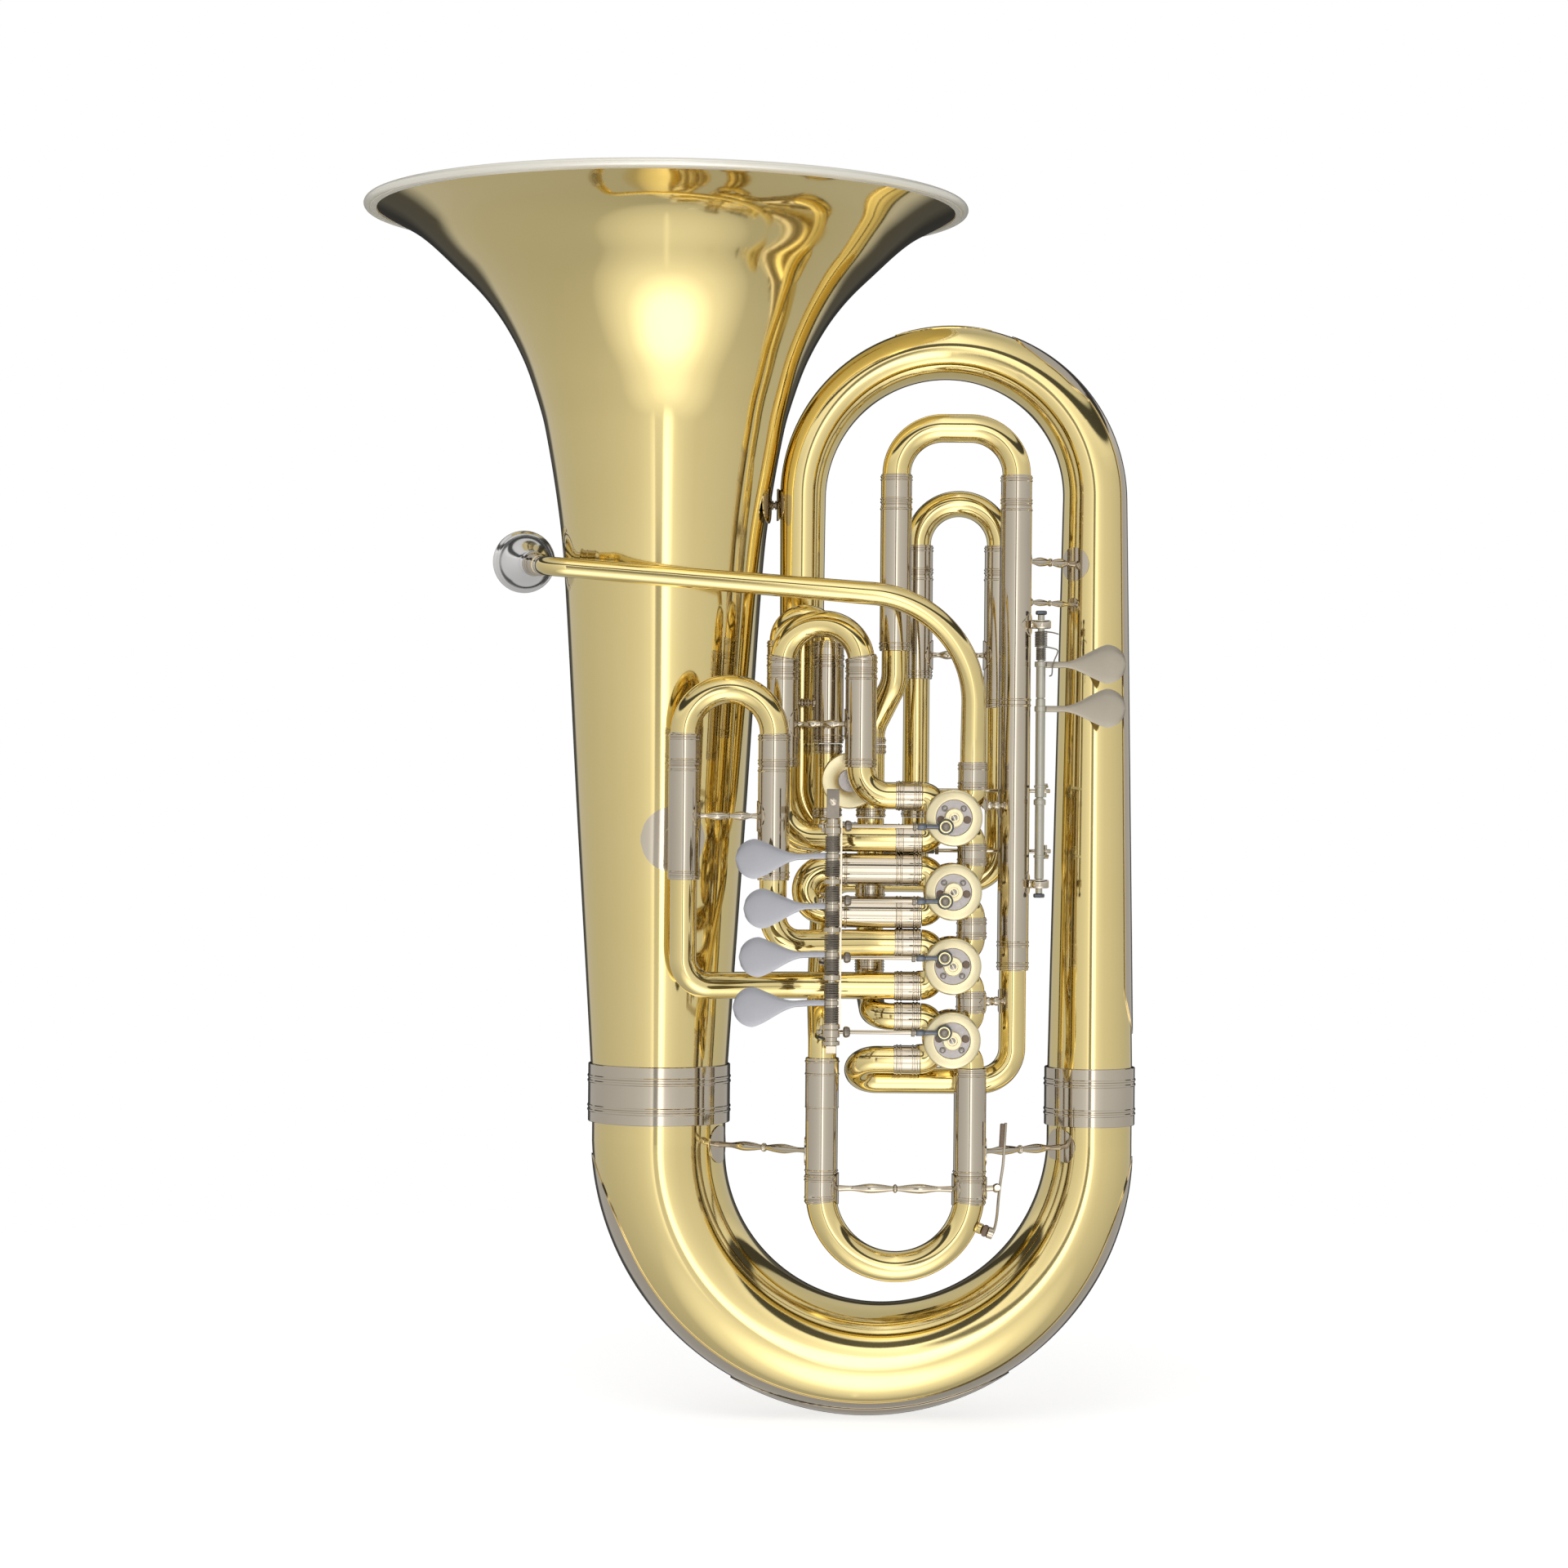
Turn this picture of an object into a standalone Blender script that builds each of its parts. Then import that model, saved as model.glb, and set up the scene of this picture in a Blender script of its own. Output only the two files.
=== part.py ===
"""A rotary-valve bass tuba with six valves, standing on its bottom bow.

Lengths are written in millimetres and scaled to metres when an object is made.
+X is the player's left as seen from the valve side, +Y is away from the valves, and +Z is up.
The origin is the middle of the flat under the foot plate.
"""

import math

import bmesh
import bpy
from mathutils import Matrix, Vector

MM = 0.001
GAP = 0.3
X_AXIS = Vector((1, 0, 0))
Y_AXIS = Vector((0, 1, 0))
Z_AXIS = Vector((0, 0, 1))
BEND_STEP = math.radians(30)
SHARP_ANGLE = math.radians(40)
SAME_POINT = 0.05

# Bell, bottom bow and main branch
LIMB_X = 160.5
BELL_PROFILE = (
    (50.6, 240.2), (51.2, 262), (62.8, 444.5), (73.1, 616), (77.9, 667), (89, 733), (96.8, 760.5),
    (106, 785), (119.8, 810.5), (135, 831), (153.2, 849.5), (185, 878), (218.1, 896.2),
)
BELL_WALL = 1.1
BELL_SIDES = 24
RIM_SIDES = 30
RIM_RADIUS = 221.8
RIM_SECTION = 3.2
RIM_Z = 897.6
FERRULE_LOW = 218.5
FERRULE_HIGH = 261.5
JOINT_Z = 240
BOW_Z = 204.7
BOW_SIDES = 18
BOW_STEP = math.radians(15)
BOW_RADII = (49.7, 40.5, 31.6)
BOW_WALL = 1.2
GUARD_GAP = 0.4
GUARD_WALL = 0.8
FOOT_HALF_LENGTH = 85
FOOT_FLAT = 14
LOOP_Z = 683.8
BRANCH_LEFT_X = -57
BRANCH_SIDES = 12

# Tubing
TUBE = 9.75
TUBE_BORE = 8.7
PORT_SLEEVE = 10.1
SLEEVE = 11.8
SLEEVE_BORE = 10.9
SLIDE_LEG = 9.9
SLIDE_BORE = 8.9
SLIDE_FERRULE = 11.3
MAIN_SLEEVE = 12.3
MAIN_SLEEVE_BORE = 11.6
MAIN_LEG = 10.5
MAIN_BOW = 11.2
MAIN_TUBE = 10.2
TUBE_SIDES = 8
WIDE_BOW = 10.35
PORT_SLEEVE_LENGTH = 19
BRACE = 1.7

# Valves: each turns about an axis along Y
VALVE_X = 53
VALVE_Z = (446.9, 393.6, 340.3, 287.0)
VALVE_Y = -85
PORT_RISE = 15.5
PORT_X = 31
KNUCKLE_X = 67.3
KNUCKLE = 10.9
KNUCKLE_HALF_LENGTH = 8
CASING = 19.5
CASING_BORE = 17.2
CASING_FLOOR = 2.5
ROTOR = 16.6
CASING_SIDES = 14
CAP = 20.5
CAP_HOLE = 4.7
SPINDLE = 4.0
HUB = 6.5
CRANK = 9.0
CRANK_PIN = 1.5
CRANK_REACH = CRANK * math.sqrt(0.5)
VALVE_5 = (-21.5, -48, 473.0)
VALVE_5_PORT = 16
VALVE_6 = (14.9, -12, 416.0)
VALVE_6_TOP_X = 28.5

# Paddles and their links
RAIL = (-34.5, -150)
RAIL_ROD = 2.5
BARREL_BORE = 2.9
BARREL = 4.2
LEVER_THICKNESS = 1.8
LEVER_PIN = 1.25
EYE_BORE = 2.4
EYE = 3.9
EYE_HEIGHT = 3.0
JOINT_BORE = 1.9
JOINT = 4.2
LINK_ROD = 1.2
LINK_NUT = 2.1
PAD = 14.2
PAD_THICKNESS = 1.6
THUMB_RAIL = (117, -68)

# Main tuning slide and mouthpiece
MAIN_LEFT_X = -39.9
MAIN_TOP_Z = 188.3
MOUTHPIECE_RIM = Vector((-267, 30, 636))
MOUTHPIECE_AXIS = Vector((17, -90, -7)).normalized()
RECEIVER_START = 66
RECEIVER_END = 100
LEADPIPE_CORNER = 140.5
LEADPIPE_Y = -107
LEADPIPE_FERRULE = 19

FINISHES = {
    "brass": ((0.83, 0.62, 0.27), 1.0, 0.12),
    "pale_brass": ((0.86, 0.76, 0.52), 1.0, 0.3),
    "nickel": ((0.66, 0.62, 0.56), 1.0, 0.18),
    "satin_nickel": ((0.62, 0.62, 0.62), 1.0, 0.4),
    "silver": ((0.86, 0.86, 0.85), 1.0, 0.08),
}


def clear_scene():
    for item in list(bpy.data.objects):
        bpy.data.objects.remove(item, do_unlink=True)


def own_material(name, finish):
    color, metallic, roughness = FINISHES[finish]
    material = bpy.data.materials.new(name)
    material.use_nodes = True
    shader = material.node_tree.nodes["Principled BSDF"]
    shader.inputs["Base Color"].default_value = (*color, 1)
    shader.inputs["Metallic"].default_value = metallic
    shader.inputs["Roughness"].default_value = roughness
    return material


# ---------------------------------------------------------------- shapes

def skin(rings, wrapped=False):
    """A closed surface over rings of points.

    Wrapped joins the last ring to the first, else both ends are capped.
    """
    shape = bmesh.new()
    rows = [[shape.verts.new(point) for point in ring] for ring in rings]
    pairs = list(zip(rows, rows[1:]))
    if wrapped:
        pairs.append((rows[-1], rows[0]))
    else:
        shape.faces.new(rows[0])
        shape.faces.new(rows[-1])
    for near, far in pairs:
        for index in range(len(near)):
            other = (index + 1) % len(near)
            shape.faces.new((near[index], near[other], far[other], far[index]))
    bmesh.ops.recalc_face_normals(shape, faces=shape.faces)
    return shape


def circle(centre, across, up, radius, sides):
    turns = (2 * math.pi * side / sides for side in range(sides))
    return [centre + (across * math.cos(turn) + up * math.sin(turn)) * radius for turn in turns]


def turned(profile, base, axis, sides, wrapped=False):
    """A body turned about an axis from (radius, height) pairs; wrapped closes the profile on itself."""
    base = Vector(base)
    axis = Vector(axis).normalized()
    across = axis.orthogonal().normalized()
    up = axis.cross(across)
    rings = [circle(base + axis * height, across, up, radius, sides) for radius, height in profile]
    return skin(rings, wrapped)


def rod(start, end, radius, sides=8):
    start = Vector(start)
    run = Vector(end) - start
    return turned(((radius, 0), (radius, run.length)), start, run, sides)


def box(low, high):
    corners = ((low[0], low[1]), (high[0], low[1]), (high[0], high[1]), (low[0], high[1]))
    return skin([[Vector((x, y, z)) for x, y in corners] for z in (low[2], high[2])])


def arc(centre, radius, first, last, steps):
    angles = (first + (last - first) * step / steps for step in range(steps + 1))
    return [(centre[0] + radius * math.cos(angle), centre[1] + radius * math.sin(angle)) for angle in angles]


def teardrop(start, end, start_radius, end_radius, steps=4):
    """The outline round two circles, as pairs of coordinates."""
    run = Vector(end) - Vector(start)
    heading = math.atan2(run.y, run.x)
    lean = math.acos((start_radius - end_radius) / run.length)
    far_side = arc(end, end_radius, heading - lean, heading + lean, steps)
    near_side = arc(start, start_radius, heading + lean, heading - lean + 2 * math.pi, steps)
    return far_side + near_side


def front_plate(outline, front, back):
    """A plate facing the valve side, from (x, z) pairs."""
    return skin([[Vector((x, depth, z)) for x, z in outline] for depth in (front, back)])


def level_plate(outline, low, high):
    """A horizontal plate, from (x, y) pairs."""
    return skin([[Vector((x, y, height)) for x, y in outline] for height in (low, high)])


# ---------------------------------------------------------------- paths and tubes

def rounded(corners, radii, step=BEND_STEP):
    """A path through the corners, with an arc of the given radius at each inner one."""
    path = [Vector(corners[0])]
    for before, corner, after, radius in zip(corners, corners[1:], corners[2:], radii):
        corner = Vector(corner)
        back = (Vector(before) - corner).normalized()
        onward = (Vector(after) - corner).normalized()
        half = back.angle(onward) / 2
        reach = radius / math.tan(half)
        centre = corner + (back + onward).normalized() * radius / math.sin(half)
        start = corner + back * reach - centre
        turn = math.pi - 2 * half
        axis = start.cross(corner + onward * reach - centre).normalized()
        count = max(2, round(turn / step))
        for index in range(count + 1):
            path.append(centre + Matrix.Rotation(turn * index / count, 3, axis) @ start)
    path.append(Vector(corners[-1]))
    apart = [(after - before).length > SAME_POINT for before, after in zip(path, path[1:])]
    return [path[0]] + [point for point, kept in zip(path[1:], apart) if kept]


def length_of(path):
    return sum((after - before).length for before, after in zip(path, path[1:]))


def read_table(table, distance):
    """The value at a distance in a list of (distance, value) pairs."""
    for (start, low), (end, high) in zip(table, table[1:]):
        if distance <= end:
            share = (distance - start) / (end - start)
            return low + (high - low) * max(0, share)
    return table[-1][1]


def stepped(*changes):
    """A table whose value changes suddenly, from (distance, value) pairs."""
    table = [changes[0]]
    for distance, value in changes[1:]:
        table += [(distance - 0.2, table[-1][1]), (distance, value)]
    return table + [(table[-1][0] + 1e4, table[-1][1])]


def stations(path, tables):
    """(distance, point) pairs at the path's own points and wherever a table changes."""
    total = length_of(path)
    marks = {distance for table in tables for distance, _ in table if 0.1 < distance < total - 0.1}
    found = []
    travelled = 0
    for before, after in zip(path, path[1:]):
        found.append((travelled, before))
        span = (after - before).length
        inside = sorted(mark for mark in marks if travelled + 0.05 < mark < travelled + span - 0.05)
        found += [(mark, before.lerp(after, (mark - travelled) / span)) for mark in inside]
        travelled += span
    return found + [(travelled, path[-1])]


def frames(points):
    """Two directions across the path at each point, carried along it without twist."""
    runs = [(after - before).normalized() for before, after in zip(points, points[1:])]
    tangents = [runs[0]] + [(a + b).normalized() for a, b in zip(runs, runs[1:])] + [runs[-1]]
    across = Y_AXIS if abs(tangents[0].y) < 0.7 else Z_AXIS
    found = []
    for tangent in tangents:
        across = (across - tangent * across.dot(tangent)).normalized()
        found.append((across, tangent.cross(across)))
    return found


def as_table(radius):
    return radius if isinstance(radius, list) else [(0, radius), (1e4, radius)]


def rings_along(path, table, sides):
    places = stations(path, [table])
    crossways = frames([point for _, point in places])
    return [
        circle(point, across, up, read_table(table, distance), sides)
        for (distance, point), (across, up) in zip(places, crossways)
    ]


def swept(path, radius, sides=TUBE_SIDES, bore=None):
    """A round rod along a path, or a tube when it has a bore. Each radius is a number or a table."""
    outer = as_table(radius)
    rings = rings_along(path, outer, sides)
    if bore is None:
        return skin(rings)
    return skin(rings + rings_along(path, as_table(bore), sides)[::-1], wrapped=True)


def shell_strip(path, radius, sides, first_side, last_side, start, end):
    """A thin sheet that lies over some sides of a swept tube, between two distances along it."""
    table = as_table(radius)
    places = stations(path, [table, [(start, 0), (end, 0)]])
    crossways = frames([point for _, point in places])
    rings = []
    for (distance, point), (across, up) in zip(places, crossways):
        if not start - 0.01 <= distance <= end + 0.01:
            continue
        inner = read_table(table, distance) + GUARD_GAP
        turns = [2 * math.pi * side / sides for side in range(first_side, last_side + 1)]
        ring = [point + (across * math.cos(t) + up * math.sin(t)) * inner for t in turns]
        back = [point + (across * math.cos(t) + up * math.sin(t)) * (inner + GUARD_WALL) for t in turns]
        rings.append(ring + back[::-1])
    return skin(rings)


# ---------------------------------------------------------------- objects

def mesh_of(name, shape):
    bmesh.ops.scale(shape, vec=(MM, MM, MM), verts=shape.verts)
    mesh = bpy.data.meshes.new(name)
    shape.to_mesh(mesh)
    shape.free()
    return mesh


def loose_object(name, shape):
    item = bpy.data.objects.new(name, mesh_of(name, shape))
    bpy.context.scene.collection.objects.link(item)
    return item


def piece(name, finish, shapes, cuts=(), origin=(0, 0, 0)):
    """One object from shapes joined by exact unions, with cuts taken out of it."""
    item = loose_object(name, shapes[0])
    tools = [("UNION", loose_object(f"{name} added", shape)) for shape in shapes[1:]]
    tools += [("DIFFERENCE", loose_object(f"{name} cut", shape)) for shape in cuts]
    for operation, tool in tools:
        change = item.modifiers.new(tool.name, "BOOLEAN")
        change.operation = operation
        change.solver = "EXACT"
        change.object = tool
    if tools:
        graph = bpy.context.evaluated_depsgraph_get()
        joined = bpy.data.meshes.new_from_object(item.evaluated_get(graph))
        item.modifiers.clear()
        item.data = joined
        joined.name = name
        for _, tool in tools:
            bpy.data.objects.remove(tool, do_unlink=True)
    place = Vector(origin) * MM
    item.data.transform(Matrix.Translation(-place))
    item.location = place
    item.data.shade_smooth()
    item.data.set_sharp_from_angle(angle=SHARP_ANGLE)
    item.data.materials.clear()
    item.data.materials.append(own_material(name, finish))
    return item


def extended(path, extra=2):
    """The path with both ends carried a little further, for a bore that cuts right through."""
    first = path[0] + (path[0] - path[1]).normalized() * extra
    last = path[-1] + (path[-1] - path[-2]).normalized() * extra
    return [first] + path[1:-1] + [last]


def shifted(table, extra=2):
    return [(distance + extra if distance else 0, value) for distance, value in as_table(table)]


def plumbing(name, finish, tubes, extras=(), cuts=(), origin=(0, 0, 0)):
    """Tubes, given as (path, radius, bore), joined with their braces and then bored through."""
    solids = [swept(path, radius) for path, radius, _ in tubes]
    bores = [swept(extended(path), shifted(bore)) for path, _, bore in tubes]
    return piece(name, finish, solids + list(extras), bores + list(cuts), origin)


# ---------------------------------------------------------------- bell and big tubes

def offset_profile(profile, wall):
    """The profile moved sideways by the wall thickness, towards the axis."""
    moved = []
    for index, (radius, height) in enumerate(profile):
        before = profile[max(index - 1, 0)]
        after = profile[min(index + 1, len(profile) - 1)]
        run = Vector((after[0] - before[0], after[1] - before[1])).normalized()
        moved.append((radius - run.y * wall, height + run.x * wall))
    return moved


def bell():
    inside = offset_profile(BELL_PROFILE, BELL_WALL)
    profile = list(BELL_PROFILE) + inside[::-1]
    piece("bell", "brass", [turned(profile, (-LIMB_X, 0, 0), Z_AXIS, BELL_SIDES, wrapped=True)])
    bead = arc((RIM_RADIUS, RIM_Z), RIM_SECTION, 0, 2 * math.pi * 5 / 6, 5)
    piece("bell_rim", "nickel", [turned(bead, (-LIMB_X, 0, 0), Z_AXIS, RIM_SIDES, wrapped=True)])


def ferrule(name, centre_x, bore, wall, sides):
    """A collar over the joint of two big tubes."""
    height = FERRULE_HIGH - FERRULE_LOW
    profile = [(bore, 0), (bore + wall, 0), (bore + wall, height), (bore, height)]
    piece(name, "nickel", [turned(profile, (centre_x, 0, FERRULE_LOW), Z_AXIS, sides, wrapped=True)])


def bow_path():
    low = BOW_Z - LIMB_X
    corners = (
        (-LIMB_X, 0, JOINT_Z - 0.2), (-LIMB_X, 0, low), (LIMB_X, 0, low), (LIMB_X, 0, JOINT_Z - 0.2),
    )
    return rounded(corners, (LIMB_X, LIMB_X), BOW_STEP)


def bottom_bow():
    path = bow_path()
    total = length_of(path)
    straight = JOINT_Z - BOW_Z
    left, middle, right = BOW_RADII
    outer = [(0, left), (straight, left), (total / 2, middle), (total - straight, right), (total, right)]
    inner = [(distance, radius - BOW_WALL) for distance, radius in outer]
    piece("bottom_bow", "brass", [swept(path, outer, BOW_SIDES, inner)])
    guard = shell_strip(path, outer, BOW_SIDES, -6, -3, straight + 8, total - straight - 8)
    piece("bow_guard", "nickel", [guard])


def foot_plate():
    """A crescent under the bow, hollow above to follow the bow's guard and flat underneath in the middle."""
    bow_radius = BOW_RADII[1] + GUARD_GAP + GUARD_WALL + 1.1
    ring_radius = LIMB_X
    tilts = [math.radians(angle) for angle in (-27, -14, 0, 14, 27)]
    rings = []
    for x in (-FOOT_HALF_LENGTH, -60, -37, -FOOT_FLAT, FOOT_FLAT, 37, 60, FOOT_HALF_LENGTH):
        angle = math.asin(x / (ring_radius + bow_radius))
        swell = 1 - (x / FOOT_HALF_LENGTH) ** 2
        taper = (BOW_RADII[0] - BOW_RADII[2]) * x / (ring_radius * math.pi)
        section = bow_radius - taper
        upper = []
        lower = []
        for tilt in tilts:
            outward = Vector((math.sin(angle), 0, -math.cos(angle)))
            reach = ring_radius + section * math.cos(tilt)
            upper.append(Vector((0, section * math.sin(tilt), BOW_Z)) + outward * reach)
            lower.append(upper[-1] + outward * 0.9 * (1 + swell))
        if abs(x) == FOOT_FLAT:
            for point in lower[1:4]:
                point.z = 0
            for point in (lower[0], lower[4]):
                point.z = max(point.z, 2)
        rings.append(upper + lower[::-1])
    piece("foot_plate", "nickel", [skin(rings)])


def branch_path():
    top = LOOP_Z + (LIMB_X - BRANCH_LEFT_X) / 2
    loop = (LIMB_X - BRANCH_LEFT_X) / 2
    port_z = VALVE_6[2] + PORT_RISE
    corners = (
        (LIMB_X, 0, JOINT_Z + 0.2), (LIMB_X, 0, top), (BRANCH_LEFT_X, 0, top),
        (BRANCH_LEFT_X, VALVE_6[1], port_z), (-12 - GAP, VALVE_6[1], port_z),
    )
    return rounded(corners, (loop, loop, 38), math.radians(18))


def main_branch():
    path = branch_path()
    total = length_of(path)
    outer = [
        (0, 31.5), (22, 31.5), (290, 26.5), (444, 23.5), (614, 20), (785, 17), (900, 16.2),
        (total - 20, TUBE), (total, TUBE),
    ]
    inner = [(distance, radius - 1.1) for distance, radius in outer]
    piece("main_branch", "brass", [swept(path, outer, BRANCH_SIDES, inner)])
    piece("branch_guard", "nickel", [shell_strip(path, outer, BRANCH_SIDES, -4, -2, 46, 575)])


# ---------------------------------------------------------------- leadpipe and mouthpiece

def on_mouthpiece(distance):
    return MOUTHPIECE_RIM + MOUTHPIECE_AXIS * distance


def leadpipe():
    corners = (
        on_mouthpiece(RECEIVER_END + GAP), on_mouthpiece(LEADPIPE_CORNER), (KNUCKLE_X, LEADPIPE_Y, 602),
        (KNUCKLE_X, VALVE_Y, 500), (KNUCKLE_X, VALVE_Y, 466.8 + GAP),
    )
    path = rounded(corners, (18, 80, 60))
    step = length_of(path) - LEADPIPE_FERRULE
    outer = [(0, 6.7), (step - 0.2, 9.3), (step, 10.8), (step + LEADPIPE_FERRULE, 10.8)]
    bore = [(0, 5.6), (step, 8.2), (step + LEADPIPE_FERRULE, TUBE_BORE)]
    piece("leadpipe", "brass", [swept(path, outer, TUBE_SIDES, bore)])


def receiver_and_mouthpiece():
    wall = [(7.4, 0), (9.2, 0), (9.2, 4), (8.4, 5), (8.4, 34), (6.2, 34), (6.2, 28), (7.4, 27)]
    receiver = turned(wall, on_mouthpiece(RECEIVER_START), MOUTHPIECE_AXIS, 12, wrapped=True)
    piece("mouthpiece_receiver", "nickel", [receiver])
    profile = [
        (16.6, 1.2), (19.5, 0), (23.5, 2), (23.5, 4), (21.2, 9), (19.4, 26), (15, 36), (8.5, 45),
        (6.6, 55), (6.9, 64), (6.2, 90), (4.9, 90), (3.9, 40), (9, 31), (15, 18),
    ]
    cup = turned(profile, MOUTHPIECE_RIM, MOUTHPIECE_AXIS, 14, wrapped=True)
    piece("mouthpiece", "silver", [cup], origin=on_mouthpiece(RECEIVER_START))


# ---------------------------------------------------------------- valves

def casing_solid(centre, half_depth):
    x, y, z = centre
    return rod((x, y - half_depth, z), (x, y + half_depth, z), CASING, CASING_SIDES)


def casing_bore(centre, half_depth, front):
    """The blind bore for a rotor, open towards the valve side when front is -1 and away from it when +1."""
    x, y, z = centre
    floor = y - front * (half_depth - CASING_FLOOR)
    mouth = y + front * (half_depth + 2)
    return rod((x, floor, z), (x, mouth, z), CASING_BORE, CASING_SIDES)


def valve_block():
    """The four main casings in a row, joined by three knuckles, with a stub for each pipe."""
    centres = [(VALVE_X, VALVE_Y, z) for z in VALVE_Z]
    shapes = [casing_solid(centre, 18) for centre in centres]
    shapes.append(swept([Vector((KNUCKLE_X, VALVE_Y, z)) for z in (466.8, 266)], TUBE))
    for z in VALVE_Z:
        for rise in (PORT_RISE, -PORT_RISE):
            shapes.append(swept([Vector((x, VALVE_Y, z + rise)) for x in (PORT_X, VALVE_X)], TUBE))
    for above, below in zip(VALVE_Z, VALVE_Z[1:]):
        middle = Vector((KNUCKLE_X, VALVE_Y, (above + below) / 2))
        half = Z_AXIS * KNUCKLE_HALF_LENGTH
        shapes.append(rod(middle - half, middle + half, KNUCKLE, TUBE_SIDES))
    piece("valve_block", "brass", shapes, [casing_bore(centre, 18, -1) for centre in centres])


def casing_5():
    x, y, z = VALVE_5
    shapes = [casing_solid(VALVE_5, 13), rod((x, y - 12, z), (x, y - 17.5, z), CAP, CASING_SIDES)]
    for side in (-VALVE_5_PORT, VALVE_5_PORT):
        shapes.append(swept([Vector((x + side, y, height)) for height in (446, 500)], TUBE))
    piece("valve_casing_5", "brass", shapes, [casing_bore(VALVE_5, 13, 1)])


def casing_6():
    x, y, z = VALVE_6
    shapes = [casing_solid(VALVE_6, 18)]
    shapes.append(swept([Vector((VALVE_6_TOP_X, y, height)) for height in (z, 446)], TUBE))
    shapes.append(swept([Vector((across, y, z - PORT_RISE)) for across in (-12, 42)], TUBE))
    shapes.append(swept([Vector((across, y, z + PORT_RISE)) for across in (-12, x)], TUBE))
    piece("valve_casing_6", "brass", shapes, [casing_bore(VALVE_6, 18, -1)])


def valve_set(number, centre, half_depth, cap, front, pin_turn, pin_length):
    """A bearing cap and a rotor. pin_turn is the crank pin's angle in degrees, from +X towards +Z."""
    facing = Vector((0, front, 0))
    base = Vector(centre)
    start = half_depth + GAP
    ring = [
        (CAP_HOLE, start), (CAP, start), (CAP, start + cap - 1), (CAP - 1.2, start + cap),
        (CAP_HOLE, start + cap),
    ]
    piece(f"bearing_cap_{number}", "pale_brass", [turned(ring, base, facing, CASING_SIDES, wrapped=True)])
    hub = start + cap + 0.8
    body = half_depth - 3.5
    profile = [
        (ROTOR, -body), (ROTOR, body), (SPINDLE, body + 0.2), (SPINDLE, hub), (HUB, hub + 0.1),
        (HUB, hub + 2.8),
    ]
    angle = math.radians(pin_turn)
    pin = base + Vector((math.cos(angle), 0, math.sin(angle))) * CRANK
    arm = teardrop((base.x, base.z), (pin.x, pin.z), 5.5, 3.4)
    depths = (base.y + front * (hub + 0.4), base.y + front * (hub + 2.4))
    crank_pin = rod(pin + facing * (hub + 1.2), pin + facing * (hub + 1.2 + pin_length), CRANK_PIN)
    shapes = [turned(profile, base, facing, CASING_SIDES), front_plate(arm, *depths), crank_pin]
    ducts = []
    for side in (-ROTOR, ROTOR):
        duct = base + Vector((side, 0, 0))
        ducts.append(rod(duct - Z_AXIS * 20, duct + Z_AXIS * 20, TUBE_BORE, 6))
    piece(f"rotor_{number}", "pale_brass", shapes, ducts, origin=base)
    return pin


# ---------------------------------------------------------------- paddles and links

def lever_swing(radius):
    """The turn of a lever whose pin moves as far sideways as a crank pin does in a quarter turn."""
    return 2 * math.asin(CRANK_REACH / radius)


def link_depth(rail, radius):
    return rail[1] + radius * (1 + math.cos(lever_swing(radius) / 2)) / 2


def washer(bore, radius, width):
    """The profile of a flat ring, as (radius, height) pairs round its middle."""
    half = width / 2
    return [(bore, -half), (radius, -half), (radius, half), (bore, half)]


def link(number, crank_pin, eye_x, depth, eye_width):
    """A rod with a ball-joint ring on the crank pin and an open ring round the lever's pin."""
    heading = 1 if eye_x > crank_pin.x else -1
    level = crank_pin.z
    ball = Vector((crank_pin.x, depth, level))
    ring = washer(JOINT_BORE, JOINT, eye_width)
    eye = washer(EYE_BORE, EYE, EYE_HEIGHT)
    span = abs(eye_x - crank_pin.x) - 6
    nut = [
        (LINK_ROD, 0), (LINK_ROD, 6), (LINK_NUT, 6.2), (LINK_NUT, 9.6), (LINK_ROD, 9.8), (LINK_ROD, span),
    ]
    shapes = [
        turned(ring, ball, Y_AXIS, 8, wrapped=True),
        turned(nut, ball + X_AXIS * heading * 3, X_AXIS * heading, 6),
        turned(eye, (eye_x, depth, level), Z_AXIS, 8, wrapped=True),
    ]
    piece(f"link_{number}", "nickel", shapes, origin=ball)


def lever_parts(rail, radius, level, above, side):
    """The plate and the pin that drive a link. above is 1 for a plate over the link, -1 for one under it."""
    swing = lever_swing(radius)
    pin = (rail[0] + side * CRANK_REACH, rail[1] + radius * math.cos(swing / 2))
    near = level + above * 2.4
    heights = sorted((near, near + above * LEVER_THICKNESS))
    plate = level_plate(teardrop(rail, pin, 3.6, 2.2, 4), *heights)
    stud = rod((*pin, near + above * 0.9), (*pin, level - above * 5), LEVER_PIN, 6)
    return [plate, stud]


def touch_piece(rail, arm_z, pad_x, pad_z):
    """The flat spoon that a finger presses: a round pad that narrows into its arm."""
    side = 1 if pad_x > rail[0] else -1
    pad = arc((pad_x, pad_z), PAD, 0, 2 * math.pi * 11 / 12, 11)
    waist = pad_x - side * PAD * 0.8
    neck = pad_x - side * PAD * 2.2
    taper = [(waist, pad_z - 9), (waist, pad_z + 9), (neck, arm_z + 2.6), (neck, arm_z - 2.6)]
    root = neck + side * 3
    arm = [(root, arm_z - 2.2), (root, arm_z + 2.2), (rail[0], arm_z + 1.9), (rail[0], arm_z - 1.9)]
    middle = rail[1]
    half = PAD_THICKNESS / 2
    return [
        front_plate(pad, middle - half, middle + half),
        front_plate(taper, middle - half + 0.1, middle + half - 0.1),
        front_plate(arm, middle - half + 0.2, middle + half - 0.2),
    ]


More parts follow.
